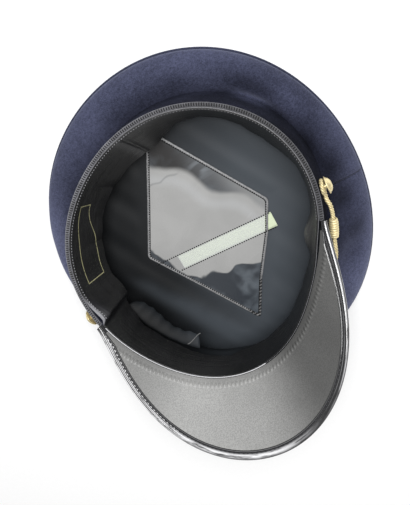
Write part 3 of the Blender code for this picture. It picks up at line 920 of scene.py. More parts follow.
def vinyl_finish(name, look):
    """Clear plastic over dark satin, with its reflections painted: a milky painted glare in broad wavy
    patches, dark painted reflection between them, clear over the slip.
    """
    finish = Finish(name, specular_ior_level=0.5)
    x, y, _ = finish.split(finish.place())
    swirl = finish.noise(finish.place(), 40, 1.0, 0.4, 0.5) - 0.5
    fine = finish.noise(finish.place(), 110, 1.0, 0.4, 0.4) - 0.5
    # Patches of painted dark reflection: one over the back corner, one along the front edge with a strip
    # up the left
    sway = swirl * 0.016 + fine * 0.005
    bend = finish.wave((x * 0.643 - y * 0.766) * 126 + 5.73) * 0.0032
    back_edge = x * 0.766 + y * 0.643 - 0.0281 - bend + sway * 0.25
    back = finish.step(back_edge, -0.0012, 0.0042) * (1 - finish.step(x, 0.018, 0.044) * 0.6)
    strip = past_lower_left(x, y) + 0.0068
    front_edge = finish.most(-0.0405 - x * 0.20 - y + finish.wave(x * 260) * 0.0015, strip) + sway
    clear = finish.most(back, finish.step(front_edge, -0.0006, 0.0016))
    slip_x, slip_y = finish.on_slip()
    slip = finish.fade(abs(slip_x), SLIP_LENGTH / 2 - SLIP_EDGE, SLIP_LENGTH / 2)
    slip = slip * finish.fade(abs(slip_y), SLIP_WIDTH / 2 - SLIP_EDGE, SLIP_WIDTH / 2)
    haze = finish.step(finish.noise(finish.place(), 30, 2.0, 0.5, 0.5), 0.2, 0.8)
    glare = finish.tones(haze, look.vinyl, 0.93, 1.07)
    # A painted brighter reflection below the back corner's patch, and a thin painted dark line at its
    # left
    glare = finish.mix(finish.near(back_edge + 0.0085, 0.0075) * 0.4, glare, (0.46, 0.47, 0.48))
    painted_dark_line = y - 0.0484 - finish.wave(x * 449) * 0.0007
    painted_dark_line = finish.near(painted_dark_line + fine * 0.002, 0.0014) * finish.fade(x, -0.005, 0.001)
    glare = finish.mix(painted_dark_line * 0.45, glare, (0.16, 0.165, 0.17))
    # Painted glints, and the dark patches' own painted reflection: darker to the back, lighter at the
    # back right and in clouds
    glints = finish.near(x - 0.0150, 0.0130) * finish.near(y - 0.0430, 0.0130)
    ripples = finish.noise(finish.place((1.0, 2.6, 1.0), 0.6), 75, 1.0, 0.5, 0.3)
    dim = finish.step(y, -0.05, 0.05)
    deep = finish.mix(dim, (0.038, 0.044, 0.053), (0.030, 0.029, 0.029))
    deep = finish.mix(dim * finish.step(x, -0.004, 0.030), deep, (0.120, 0.126, 0.134))
    cloud = finish.step(swirl + fine * 0.6, -0.10, 0.24)
    deep = finish.mix(cloud * (0.72 - dim * 0.45), deep, (0.135, 0.155, 0.176))
    deep = finish.mix(glints * finish.step(ripples, 0.40, 0.72) * 0.8, deep, (0.22, 0.24, 0.26))
    colour = finish.mix(slip, finish.mix(clear, glare, deep), (0.84, 0.86, 0.86))
    normal = finish.bump(swirl + fine * 0.3, 0.0010, 0.3)
    rough = 0.20 + haze * 0.12
    return finish.wear(base_color=colour, alpha=1 - slip * 0.62, roughness=rough, normal=normal)


def piping_finish(name, look):
    """Pale piping that is dark where its stitches bunch up at the front tip."""
    finish = Finish(name, specular_ior_level=0.5)
    grain = finish.noise(finish.place(), 700, 3.0, 0.6)
    colour = finish.tones(finish.step(grain, 0.3, 0.75), look.piping, 0.7, 1.25)
    right, back, _ = finish.split(finish.place())
    tip = finish.fade(back, -0.062, -0.056) * finish.step(right, -0.010, -0.007)
    teeth = finish.step(finish.wave(back * (math.tau / TIP_STITCH_PITCH) + grain * 3), -0.2, 0.5)
    colour = finish.mix(tip * (1 - teeth * 0.75), colour, shade(look.piping, 0.08))
    normal = finish.bump(grain, 0.0003, 0.4)
    return finish.wear(base_color=colour, roughness=0.3 + grain * 0.2, normal=normal)


def slip_finish(name, look):
    """Pale green paper with a faint grain, and a thin line along each long edge."""
    finish = Finish(name, roughness=0.6, specular_ior_level=0.3)
    fibres = finish.noise(finish.place((1, 3, 1)), 620, 3.0, 0.6)
    cloud = finish.noise(finish.place(), 45, 2.0, 0.5)
    tone = finish.step(fibres * 0.5 + cloud * 0.5, 0.3, 0.7)
    across = finish.on_slip()[1]
    line = finish.fade(abs(abs(across) - SLIP_WIDTH * 0.44), 0.0002, 0.0005)
    paper = finish.tones(tone, look.slip, 0.90, 1.06)
    colour = finish.mix(line * 0.55, paper, shade(look.slip, 0.35))
    return finish.wear(base_color=colour, normal=finish.bump(fibres, 0.0002, 0.3))


def patent_finish(name, look, rolled=False):
    """Black patent leather: a deep gloss with long soft ripples and light handling marks.

    On the rolled edge its lie gives the place along the peak, and the share from the outer side to
    the inner lip; the roll has painted highlights, most along the front and the left, and a painted
    highlight on the inner lip.
    """
    finish = Finish(name, coat_weight=1.0, coat_roughness=0.04, specular_ior_level=0.5)
    place = finish.place()
    ripple = finish.noise(place, 90, 3.0, 0.5, 0.3)
    marks = finish.noise(place, 520, 3.0, 0.6)
    colour = finish.tones(finish.step(marks, 0.4, 0.7), look.patent, 1.0, 2.2)
    if rolled:
        # Painted highlights along the roll, and on its inner lip
        along, across, _ = finish.split(finish.lie())
        streak = finish.noise(finish.lie((110, 6, 1)), 1.0, 2.0, 0.6)
        front = finish.span(along, 0.050, 0.090, 0.120, 0.158)
        right = finish.step(along, 0.150, 0.190)
        left = finish.span(along, 0.0, 0.010, 0.050, 0.090)
        painted_shine = finish.near(across - 0.48 + (streak - 0.5) * 0.10, 0.22) * front
        lines = finish.near(across - 0.30, 0.06) + finish.near(across - 0.50, 0.07)
        painted_shine = painted_shine + lines * (right * 0.55 + left * 1.3)
        inner_lip_highlight = finish.near(across - 0.88, 0.06) * (0.30 + front * 0.25)
        colour = finish.mix(painted_shine * finish.step(streak, 0.25, 0.55), colour, (0.90, 0.90, 0.92))
        colour = finish.mix(inner_lip_highlight, colour, (0.35, 0.35, 0.36))
    rough = 0.10 + finish.step(marks, 0.35, 0.8) * 0.14
    return finish.wear(base_color=colour, roughness=rough, normal=finish.bump(ripple, 0.0012, 0.25))


def leatherette_finish(name, look):
    """Grey grained leatherette, with a pressed row of stitch bumps along its inner edge, painted shadow
    along that edge and painted light and shade across the peak.
    """
    finish = Finish(name, specular_ior_level=0.55)
    place = finish.place()
    base = shade(look.leatherette)
    grain = finish.cells(place, 1500, "SMOOTH_F1", Smoothness=0.4)
    fine = finish.noise(place, 2400, 2.0, 0.6)
    cloud = finish.noise(place, 40, 3.0, 0.55)
    along, up, _ = finish.split(finish.lie())
    ridge = finish.near(up - 0.0066 + (cloud - 0.5) * 0.002, 0.0024)
    stitch = finish.wave(along * (math.tau / PEAK_BUMP_PITCH) + cloud * 3) * 0.5 + 0.5
    bumps = ridge * stitch
    skin = finish.tones(finish.step(grain * 0.7 + cloud * 0.3, 0.2, 0.7), base, 1.16, 0.78)
    # Painted highlights on the stitch bumps
    skin = finish.mix(bumps * 0.35, skin, shade(base, 1.35))
    # Painted shadow along the inner edge, cast by the sweatband's edge
    colour = finish.mix(finish.fade(up, 0.0, 0.009) * 0.55, skin, shade(base, 0.35))
    # Painted shade: the right half is painted darker than the left and the middle
    level = 0.90 + finish.step(along, 0.03, 0.075) * 0.50 - finish.step(along, 0.070, 0.110) * 0.14
    level = level - finish.step(along, 0.112, 0.158) * 0.86 + finish.step(along, 0.175, 0.210) * 0.12
    colour = finish.dimmed(colour, level)
    normal = finish.bump(bumps, 0.0011, 0.6, finish.bump(grain + fine * 0.4, 0.0002, 0.4))
    return finish.wear(base_color=colour, roughness=0.40 + cloud * 0.14, normal=normal)


def gold_finish(name, look, threads=True):
    """Gold thread or polished gilt, with darker hollows."""
    metal, scale, gloss, depth = (0.40, 2300, 0.36, 0.0003) if threads else (0.60, 420, 0.30, 0.0002)
    finish = Finish(name, metallic=metal)
    place = finish.place()
    strands = finish.noise(place, scale, 3.0, 0.6)
    worn = finish.noise(place, 300, 2.0, 0.5)
    tone = finish.step(strands * 0.6 + worn * 0.4, 0.35, 0.62)
    colour = finish.tones(tone, look.gold, 0.62, 1.0)
    normal = finish.bump(strands, depth, 0.5)
    return finish.wear(base_color=colour, roughness=gloss + worn * 0.18, normal=normal)


# Settings

COLOUR = {"subtype": "COLOR", "min": 0, "max": 1}


class CapWool(bpy.types.PropertyGroup):
    """Wool of the crown and the band, and the binding of the band's edge."""

    wool: FloatVectorProperty(
        name="Wool", description="Colour of the wool", default=(0.042, 0.046, 0.078), **COLOUR
    )
    bloom: FloatProperty(
        name="Bloom",
        description="Strength of the pale bloom on the nap",
        subtype="FACTOR",
        default=0.22,
        min=0,
        max=1,
    )
    stations: IntProperty(
        name="Stations", description="Stations round the cap", default=360, min=60, max=720
    )
    binding: FloatVectorProperty(
        name="Binding",
        description="Colour of the ribbed binding",
        default=(0.140, 0.140, 0.155),
        **COLOUR,
    )
    rib_pitch: FloatProperty(
        name="Rib Pitch",
        description="Distance from one rib of the binding to the next",
        unit="LENGTH",
        default=0.00165,
        min=0.0008,
        max=0.005,
    )


class CapLeather(bpy.types.PropertyGroup):
    """Leather sweatband, its stitches and its gilt line."""

    leather: FloatVectorProperty(
        name="Leather", description="Colour of the leather", default=(0.0065, 0.0065, 0.0070), **COLOUR
    )
    gilt: FloatVectorProperty(
        name="Gilt Line",
        description="Colour of the gilt line round the label panel",
        default=(0.42, 0.40, 0.22),
        **COLOUR,
    )
    stitch_pitch: FloatProperty(
        name="Stitch Pitch",
        description="Distance from one stitch at the rim to the next",
        unit="LENGTH",
        default=0.0021,
        min=0.001,
        max=0.006,
    )


class CapLining(bpy.types.PropertyGroup):
    """Satin lining, and the clear shield and slip on it."""

    satin: FloatVectorProperty(
        name="Satin", description="Colour of the satin", default=(0.031, 0.036, 0.042), **COLOUR
    )
    fold_height: FloatProperty(
        name="Fold Height",
        description="Height of the soft folds in the lining",
        unit="LENGTH",
        default=0.0011,
        min=0,
        max=0.003,
    )
    vinyl: FloatVectorProperty(
        name="Vinyl",
        description="Colour of the glare on the clear shield",
        default=(0.36, 0.36, 0.355),
        **COLOUR,
    )
    piping: FloatVectorProperty(
        name="Piping", description="Colour of the shield's piping", default=(0.26, 0.26, 0.265), **COLOUR
    )
    slip: FloatVectorProperty(
        name="Slip",
        description="Colour of the slip under the shield",
        default=(0.68, 0.76, 0.54),
        **COLOUR,
    )


class CapPeak(bpy.types.PropertyGroup):
    """Patent peak and its grey lining."""

    patent: FloatVectorProperty(
        name="Patent",
        description="Colour of the patent leather",
        default=(0.006, 0.006, 0.007),
        **COLOUR,
    )
    leatherette: FloatVectorProperty(
        name="Leatherette",
        description="Colour of the peak's lining",
        default=(0.24, 0.24, 0.235),
        **COLOUR,
    )
    stitch_pitch: FloatProperty(
        name="Stitch Pitch",
        description="Distance from one stitch of the peak's edge to the next",
        unit="LENGTH",
        default=0.0032,
        min=0.001,
        max=0.008,
    )


class CapCord(bpy.types.PropertyGroup):
    """Gold chin cord, its slides and its buttons."""

    gold: FloatVectorProperty(
        name="Gold",
        description="Colour of the gold thread and the gilt buttons",
        default=(0.90, 0.77, 0.44),
        **COLOUR,
    )
    lay: FloatProperty(
        name="Lay",
        description="Length of cord for one turn of its strands",
        unit="LENGTH",
        default=0.0066,
        min=0.003,
        max=0.03,
    )
    slide_turns: IntProperty(
        name="Slide Turns", description="Turns of thread on each slide", default=8, min=4, max=20
    )


class CapStage(bpy.types.PropertyGroup):
    """Floor, lamp and even light."""

    floor: FloatVectorProperty(
        name="Floor", description="Colour of the floor", default=(0.95, 0.95, 0.95), **COLOUR
    )
    lamp: FloatProperty(
        name="Overhead Lamp", description="Power of the overhead lamp", unit="POWER", default=16.0, min=0
    )
    fill: FloatProperty(
        name="Fill", description="Strength of the light from all round", default=0.45, min=0, max=4
    )


# Pieces


def dent(angle, share):
    """The depth of the panels' dents, as a share of the swell."""
    total = 0
    for middle, along, half_angle, half_share, depth in SIDE_DENTS:
        total = total + depth * bell(turn_from(angle, middle), half_angle) * bell(
            share - along, half_share
        )
    return total


def side_panel(angles, first, last):
    """Sections of a side panel, drawn down a little along its two seams."""
    rows = smooth_line(WOOL_ROWS, 5)
    share, lift = rows[:, 0], np.maximum(rows[:, 1], 0)
    start = band_point(angles, BAND_FLARE - SEAM_INSET, BAND_TOP + BAND_DEPTH + CLEAR)
    end = crown_point(angles, WELT_DIAMETER / 2, WELT_HEIGHT + WELT_DIAMETER / 2 + CLEAR)
    side = round_way(angles)
    up = unit(np.cross(end - start, side))
    swell = CROWN_SWELL * lift * (1 - dent(angles[:, None], share))
    ripple = np.sin(9 * angles[:, None] + 5 * share) * np.sin(17 * angles[:, None] - 3 * share)
    swell = swell + WOOL_RIPPLE * ripple * lift
    for middle, along, half_angle, half_share, height in WOOL_FOLDS:
        spread = bell(turn_from(angles[:, None], middle), half_angle)
        swell = swell + height * spread * bell(share - along, half_share) * np.minimum(1, lift * 2)
    for seam in (first, last):
        away = (angles[:, None] - seam) * CROWN_WIDTH / 2
        swell = swell - SEAM_DEPTH * bell(away, SEAM_HALF_WIDTH) * np.minimum(1, 6 * share * (1 - share))
    lines = start[:, None] + (end - start)[:, None] * share[:, None] + up[:, None] * swell[..., None]
    rows = np.append(np.concatenate([share, share[::-1]]), share[0])
    lie = np.stack(np.broadcast_arrays(angles[:, None], rows), -1)
    return walled(lines, side, WOOL), lie


class CAP_OT_crown(bpy.types.Operator):
    """Build the wool crown: its top, its welt and its two side panels"""

    bl_idname = "cap.crown"
    bl_label = "Crown"

    def execute(self, context):
        look = context.scene.cap_wool
        angles = full_turn(look.stations)
        radius = WELT_DIAMETER / 2
        reach = radius + 1.5 * CLEAR
        far, up = np.clip(smooth_line(CURL_ROWS, 5), 0, 1).T
        inset = radius + 0.4 * reach + CURL_WIDTH * far
        curl = crown_point(angles[:, None], inset, (WELT_HEIGHT - 0.92 * reach) * up)
        # Both faces are closed over the middle
        lower, upper = np.split(walled(curl, round_way(angles), -WOOL), 2, axis=1)
        inner = np.linspace(0, 1, 8)[:-1, None]
        disc_low = lower[:, :1] * inner
        middle = WOOL * UP
        disc_high = (middle + (upper[:, -1:] - middle) * inner)[:, ::-1]
        sections = np.concatenate([disc_low, lower, upper, disc_high], axis=1)
        mesh = shell_mesh("crown_top_wool", sections, True, poles=True)
        add_piece(mesh, wool_finish("Navy Wool Top", look), "navy_wool_top", "crown_top")

        turns = full_turn(12)
        ring = crown_point(
            angles[:, None], radius * (1 - np.cos(turns)), WELT_HEIGHT + radius * np.sin(turns)
        )
        mesh = shell_mesh("crown_welt_wool", ring, True)
        # The welt's wool is a darker copy: painted shade under the panels' swell
        add_piece(mesh, wool_finish("Navy Wool Welt", look, 0.75), "navy_wool_welt", "crown_welt")

        gap = CLEAR / RIM_LENGTH
        panels = (
            ("front", SEAM_LEFT - math.tau + gap, SEAM_RIGHT - gap),
            ("back", SEAM_RIGHT + gap, SEAM_LEFT - gap),
        )
        for name, first, last in panels:
            count = round(look.stations * (last - first) / math.tau)
            middle = np.linspace(first, last, count)
            edges = SEAM_STEP * np.array([1, 2, 3, 5, 7])
            stations = np.unique(np.concatenate([middle, first + edges, last - edges]))
            sections, lie = side_panel(stations, first, last)
            mesh = shell_mesh("crown_side_wool_" + name, sections, False, lie)
            wool = wool_finish("Navy Wool " + name.title(), look, around=True)
            add_piece(mesh, wool, "navy_wool_" + name, "crown_side_" + name)
        return {"FINISHED"}


def band_face(drop):
    """How far the band's outer face stands out of the rim's edge at this drop."""
    return BAND_FLARE * (drop - BAND_TOP) / BAND_DEPTH


def back_arc(gap, count):
    """Angles from one end of the peak round the back to the other, with a gap at both."""
    return np.linspace(FRONT + PEAK_SPREAD + gap, FRONT - PEAK_SPREAD + math.tau - gap, count)


class CAP_OT_band(bpy.types.Operator):
    """Build the wool band and the ribbed binding of its edge"""

    bl_idname = "cap.band"
    bl_label = "Band"

    def execute(self, context):
        look = context.scene.cap_wool
        angles = full_turn(look.stations)
        share = np.linspace(0, 1, 14)
        drop = BAND_TOP + BAND_DEPTH * share
        edge = BAND_ROUND * (1 - np.minimum(1, np.minimum(share, 1 - share) / 0.04) ** 0.5)
        outer = band_point(angles[:, None], BAND_FLARE * share - edge, drop)
        inner = band_point(angles[:, None], BAND_FLARE * share - BAND_WALL, drop)
        sections = np.concatenate([outer, inner[:, ::-1]], axis=1)
        # Shares from -0.5 to 0, so the wool finish paints shade over the whole band
        rows = np.concatenate([share, share[::-1], share[:1]]) * 0.5 - 0.5
        lie = np.stack(np.broadcast_arrays(np.append(angles, math.tau)[:, None], rows), -1)
        mesh = shell_mesh("cap_band_wool", sections, True, lie)
        wool = wool_finish("Navy Wool Band", look, 1.05, 0.0, around=True)
        add_piece(mesh, wool, "navy_wool_band", "cap_band")

        arc = back_arc(2 * CLEAR / RIM_WIDTH, look.stations)
        turn = np.linspace(0, math.pi, 11)
        across = BAND_WALL * (0.5 - 0.5 * np.cos(turn))
        height = (BINDING_HEIGHT - BINDING_ROOM) * np.sin(turn) ** 0.7
        section = band_point(arc[:, None], -across, BINDING_HEIGHT - height)
        mesh = shell_mesh("rim_binding_ribbed", section, False, sharp=70)
        add_piece(mesh, binding_finish("Binding Dark", look, 0.10), "ribbed_binding", "rim_binding")

        light = binding_finish("Binding Threads", look, 1.0)
        up = np.array([0.0, -math.sin(RIM_PITCH), math.cos(RIM_PITCH)])
        middle = band_point(arc, -BAND_WALL / 2, BINDING_HEIGHT - RIB_DROP)
        rows = [(resampled(middle, 0.001), up)]
        ribs = bead_row("rim_binding_ribs", rows, look.rib_pitch, RIB_BEAD, light, 0.10, 0.10, 3)
        add_piece(ribs, light, "ribbed_binding")
        rails = []
        for place, height in ((0.05, 0.0011), (0.93, 0.0012)):
            line = band_point(arc, -BAND_WALL * place, BINDING_HEIGHT - height)
            rails.append(tube_mesh("binding_rail", resampled(line, EDGE_STEP), RAIL_RADIUS))
        add_piece(joined("rim_binding_rails", rails), light, "ribbed_binding")
        return {"FINISHED"}


def leather_out(angle, share):
    """How far out of the rim's edge the leather's outer face stands, by share of its depth."""
    lean = smooth_share(LEATHER_LEAN, np.degrees(angle)) * SWEATBAND_DEPTH
    out = -BAND_WALL - CLEAR - lean * share**1.2
    # Soft bulge at the right end of the peak, and the fold at its left end
    bulge = bell(turn_from(angle, -21), 9) * bell(share - 0.48, 0.34) * LEATHER_BULGE
    past = turn_from(angle, -169.5)
    pleat = np.where(past < 0, bell(past, 8), bell(past, 1.7))
    fold = pleat * np.minimum(1, 0.35 + 6.5 * share) * (1 - 0.5 * share) * LEATHER_PLEAT
    seam = bell(turn_from(angle, 94.3), 1.2) * np.minimum(1, 5 * share) * LEATHER_SEAM
    beside = bell(turn_from(angle, 88), 5) * np.minimum(1, 3 * share) * LEATHER_SEAM
    deep = np.sin(11 * angle + 1.0) * share**2 * LEATHER_WAVES[0]
    deep = deep + np.sin(23 * angle) * share**2 * LEATHER_WAVES[1]
    return out - bulge - fold - seam - beside - np.abs(deep)


class CAP_OT_sweatband(bpy.types.Operator):
    """Build the leather sweatband and the stitches that hold it at the rim"""

    bl_idname = "cap.sweatband"
    bl_label = "Sweatband"

    def execute(self, context):
        look = context.scene.cap_leather
        count = context.scene.cap_wool.stations * 2
        angles = FRONT + full_turn(count)
        share = np.concatenate([[0, 0.006, 0.015, 0.03], np.linspace(0.05, 1, 30)])
        share = share * smooth_share(LEATHER_EDGE, np.degrees(angles))[:, None]
        outer = leather_out(angles[:, None], share)
        drop = SWEATBAND_DEPTH * share
        # The top edge is rounded over
        turn = np.linspace(0, math.pi, 7)[1:-1]
        top_out = outer[:, :1] - LEATHER / 2 * (1 - np.cos(turn))
        top_drop = 0.0002 - 0.0004 * np.sin(turn) + 0 * top_out
        inner = outer - LEATHER
        out = np.concatenate([inner[:, ::-1], top_out[:, ::-1], outer], axis=1)
        deep = np.concatenate([drop[:, ::-1], top_drop[:, ::-1], drop], axis=1)
        sections = band_point(angles[:, None], out, deep)
        rim = band_point(np.append(angles, angles[0]), 0, 0)
        length = reach_along(rim)
        rows = out.shape[1]
        lie = np.zeros((count + 1, rows + 1, 2))
        lie[..., 0] = length[:, None]
        closed = np.append(np.arange(count), 0)
        lie[:, :rows, 1] = deep[closed]
        lie[:, rows, 1] = deep[closed, -1]
        mesh = shell_mesh("sweatband_leather", sections, True, lie, sharp=60)
        add_piece(mesh, leather_finish("Black Leather", look), "black_leather", "sweatband")

        arc = back_arc(0.02, 720)
        out = leather_out(arc, RIM_STITCH_DROP / SWEATBAND_DEPTH) - LEATHER
        spots = band_point(arc, out, RIM_STITCH_DROP)
        ways = band_point(arc, 0.0, 0.0) - band_point(arc, 1.0, 0.0)
        thread = thread_finish("Rim Stitches", (0.34, 0.34, 0.36))
        rows = [(spots, unit(ways))]
        pitch = look.stitch_pitch
        mesh = bead_row("sweatband_stitches", rows, pitch, RIM_STITCH, thread, wander=0.15, seed=5)
        add_piece(mesh, thread, "black_leather")
        # Above the peak a pale tube along the rim's edge is a painted highlight
        arc = np.linspace(FRONT - PEAK_SPREAD + 0.04, FRONT + 0.06, 200)
        edge = band_point(arc, leather_out(arc, 0) - 0.0001, -0.0001)
        lip = tube_mesh("sweatband_lip_highlight", resampled(edge, EDGE_STEP), LIP_RADIUS)
        add_piece(lip, thread_finish("Rim Lip Highlight", (0.66, 0.66, 0.68), 0.35), "black_leather")
        # All round, a grey tube at the leather's folded top edge is a painted highlight
        arc = np.linspace(0, math.tau, 720)
        edge = band_point(arc, leather_out(arc, 0) - 0.0002, 0.0002)
        fold = tube_mesh("sweatband_fold_highlight", resampled(edge, EDGE_STEP)[:-1], FOLD_RADIUS, closed=True)
        add_piece(fold, thread_finish("Rim Fold Highlight", (0.30, 0.30, 0.32), 0.35), "black_leather")
        return {"FINISHED"}


def lining_edge(angle, share, height):
    x, y, _, _ = plan(angle, CROWN_LENGTH, CROWN_WIDTH, CROWN_WAVES)
    return np.stack([x * share, y * share, height + 0 * x], -1)


def shield_outline():
    corners = np.array(SHIELD_CORNERS)
    half = np.array([SHIELD_WIDTH / 2, SHIELD_LENGTH / 2])
    return np.array([SHIELD_RIGHT, SHIELD_BACK]) + corners * half


def inset_outline(outline, inset):
    """A convex outline moved in by this much."""
    moved = []
    for i, here in enumerate(outline):
        into = unit(here - outline[i - 1])
        away = unit(outline[(i + 1) % len(outline)] - here)
        normal = unit(np.array([-into[1] - away[1], into[0] + away[0]]))
        moved.append(here + normal * inset / normal.dot([-into[1], into[0]]))
    return np.array(moved)


def dense_outline(outline, spacing, rounds):
    """The outline with even points along its sides and softened corners."""
    points = []
    for a, b in zip(outline, np.roll(outline, -1, axis=0)):
        steps = max(1, round(float(np.linalg.norm(b - a)) / spacing))
        points += [a + (b - a) * i / steps for i in range(steps)]
    points = np.array(points)
    for _ in range(rounds):
        points = (np.roll(points, 1, axis=0) + 2 * points + np.roll(points, -1, axis=0)) / 4
    return points


def outside_shield(x, y):
    """0 well inside the shield and 1 clear of it."""
    outline = shield_outline()
    reach = np.full(np.shape(x), -1.0)
    for a, b in zip(outline, np.roll(outline, -1, axis=0)):
        way = unit(b - a)
        reach = np.maximum(reach, (x - a[0]) * way[1] - (y - a[1]) * way[0])
    share = np.clip((reach - 0.001) / 0.012, 0, 1)
    return share * share * (3 - 2 * share)


def lining_fold():
    """The loose fold of the lining under the leather's deep edge at the front left, and its ridge."""
    rows = smooth_line(FOLD_ROWS, 6)
    angle, reach = np.radians(rows[:, :1]), rows[:, 1:]
    turn = full_turn(18)
    share = 0.5 - 0.5 * np.cos(turn)
    ripple = 0.0005 * np.sin(angle * 60) * share
    out = -0.0030 - reach * share * 1.1 + ripple
    drop = BAND_TOP + BAND_DEPTH + 0.0020 + reach * (0.55 * share - 0.20 * np.sin(turn))
    fold = shell_mesh("lining_fold_satin", band_point(angle, out, drop), False)
    # Short sewn ridge at the fold's wider end
    turn = np.linspace(0.15, 0.95, 16) * math.pi
    share = 0.5 - 0.5 * np.cos(turn)
    angle = np.radians(231.5 + 7.0 * turn / math.pi)
    out = -0.0040 - 0.0098 * share
    drop = BAND_TOP + BAND_DEPTH + 0.0019 + 0.0098 * (0.55 * share - 0.20 * np.sin(turn))
    ridge = tube_mesh("lining_fold_ridge", band_point(angle, out, drop), 0.0004)
    return fold, ridge


class CAP_OT_lining(bpy.types.Operator):
    """Build the satin lining: its tip with soft folds, and the strip up into the band"""

    bl_idname = "cap.lining"
    bl_label = "Lining"

    def execute(self, context):
        look = context.scene.cap_lining
        angles = full_turn(360)

        def top(x, y):
            down = past_lower_left(x, y)
            folds = -np.cos(down * 175 + 0.8 * np.sin(x * 30)) + 0.35 * np.sin(down * 330 - x * 50)
            edge = np.hypot(x / CROWN_WIDTH, y / CROWN_LENGTH) * 2
            calm = np.clip((0.87 - edge) / 0.12, 0, 1)
            rise = (0.5 + 0.33 * folds) * look.fold_height * outside_shield(x, y) * calm
            return LINING_TOP + np.maximum(rise, 0)

        outline = lining_edge(angles, LINING_SHARE, 0)[:, :2]
        mesh = plate_mesh("lining_tip_satin", outline, 90, WOOL + CLEAR, top)
        add_piece(mesh, satin_finish("Satin Tip", look), "satin_tip", "lining_tip")

        deep = BAND_TOP + BAND_DEPTH
        inside = BAND_FLARE - SEAM_INSET - WOOL - CLEAR
        tuck = band_face(deep - LINING_TUCK) - BAND_WALL - CLEAR
        rows = [
            band_point(angles, tuck, deep - LINING_TUCK),
            band_point(angles, inside, deep),
            band_point(angles, inside, deep + 2 * WOOL),
        ]
        foot = lining_edge(angles, LINING_SHARE, LINING_TOP + CLEAR + LINING)
        fall = foot - rows[-1]
        side = round_way(angles)
        lift = unit(np.cross(side, fall))
        for step in np.linspace(0, 1, 16)[1:]:
            pleat = np.sin(14 * angles + 3 * step) * np.sin(math.pi * step) * LINING_PLEAT
            belly = np.sin(math.pi * step) * LINING_BELLY
            rows.append(rows[2] + fall * step + lift * (pleat + belly)[:, None] * 0.8)
        mesh = shell_mesh("lining_side_satin", walled(np.stack(rows, axis=1), side, LINING), True)
        # The side strip is a darker copy of the satin: painted shade inside the band
        add_piece(mesh, satin_finish("Satin Side", look, 0.35, 0.0), "satin_side", "lining_side")
        fold, ridge = lining_fold()
        # The fold is a darker copy too: painted shade under the leather's edge
        add_piece(fold, satin_finish("Satin Fold", look, 0.64, 0.02), "satin_side")
        add_piece(ridge, thread_finish("Fold Ridge", (0.16, 0.16, 0.16)), "satin_side")
        return {"FINISHED"}


class CAP_OT_shield(bpy.types.Operator):
    """Build the clear shield on the lining, its stitched piping and the slip under it"""

    bl_idname = "cap.shield"
    bl_label = "Shield"

    def execute(self, context):
        look = context.scene.cap_lining
        outline = shield_outline()
        sheet = dense_outline(inset_outline(outline, PIPING_WIDTH + CLEAR), 0.0012, 3)

        def top(x, y):
            wave = np.sin(x * 95 + 1.3 * np.sin(y * 60)) * np.sin(y * 80 + 0.8)
            return SHIELD_FLOOR + SHIELD_SHEET + SHIELD_WAVE * wave

        mesh = plate_mesh("sweat_shield_vinyl", sheet, 60, SHIELD_FLOOR, top)
        add_piece(mesh, vinyl_finish("Clear Vinyl", look), "clear_vinyl", "sweat_shield")

        middle = dense_outline(inset_outline(outline, PIPING_WIDTH / 2), 0.0010, 4)
        line = at_height(middle, SHIELD_FLOOR)
        ahead = unit(np.roll(line, -1, axis=0) - np.roll(line, 1, axis=0))
        across = np.cross(ahead, UP)
        turn = np.linspace(0, math.pi, 9)
        wide = across[:, None] * np.cos(turn)[:, None] * PIPING_WIDTH / 2
        high = np.sin(turn)[:, None] ** 0.8 * PIPING_HEIGHT * UP
        mesh = shell_mesh("shield_piping_cord", line[:, None] + wide + high, True, sharp=70)
        add_piece(mesh, piping_finish("Pale Piping", look), "pale_piping", "shield_piping")

        height = SHIELD_FLOOR + SHIELD_SHEET + SHIELD_STITCH_LIFT
        row = at_height(dense_outline(inset_outline(outline, PIPING_WIDTH * 0.86), 0.0015, 3), height)
        rows = [(np.concatenate([row, row[:1]]), UP)] + slip_rows(height)
        thread = thread_finish("Shield Stitches", (0.005, 0.005, 0.006))
        mesh = bead_row(
            "shield_stitches", rows, SHIELD_STITCH_PITCH, SHIELD_STITCH, thread, wander=0.2, seed=9
        )
        add_piece(mesh, thread, "pale_piping")

        x, y = np.array([(-1, 1, 1, -1), (-1, -1, 1, 1)])
        slip = dense_outline(slip_point(x * SLIP_LENGTH / 2, y * SLIP_WIDTH / 2), 0.002, 0)
        low = SLIP_TOP - SLIP_SHEET
        mesh = plate_mesh("name_slip_paper", slip, 10, low, lambda x, y: SLIP_TOP + 0 * x)
        add_piece(mesh, slip_finish("Pale Green Paper", look), "pale_green_slip", "name_slip")
        return {"FINISHED"}


def slip_point(x, y):
    """Plan points from places along and across the slip."""
    cos, sin = math.cos(SLIP_TURN), math.sin(SLIP_TURN)
    return np.stack([cos * x - sin * y + SLIP_RIGHT, sin * x + cos * y + SLIP_BACK], -1)


def slip_rows(height):
    """Two lines along the slip's edges, the upper one running on to the left."""
    rows = []
    for side, first in ((1, -0.0600), (-1, -0.0440)):
        x = np.linspace(first, 0.0395, 40)
        y = np.full(40, side * (SLIP_WIDTH / 2 + 0.0002))
        rows.append((at_height(slip_point(x, y), height), UP))
    return rows


def peak_width(t):
    """Width of the peak up its slope, with t from -1 at the left end to 1 at the right."""
    share = np.maximum(np.cos(math.pi / 2 * t), 0) ** PEAK_POWER
    return PEAK_END + (PEAK_LENGTH - PEAK_END) * share


def peak_flange(width):
    """Width of the rolled edge where the peak is this wide."""
    return np.minimum(PEAK_FLANGE, 0.55 * width)


def peak_reach(t):
    """Distance along the peak's foot."""
    return reach_along(peak_point(t, 0 * t, 0))


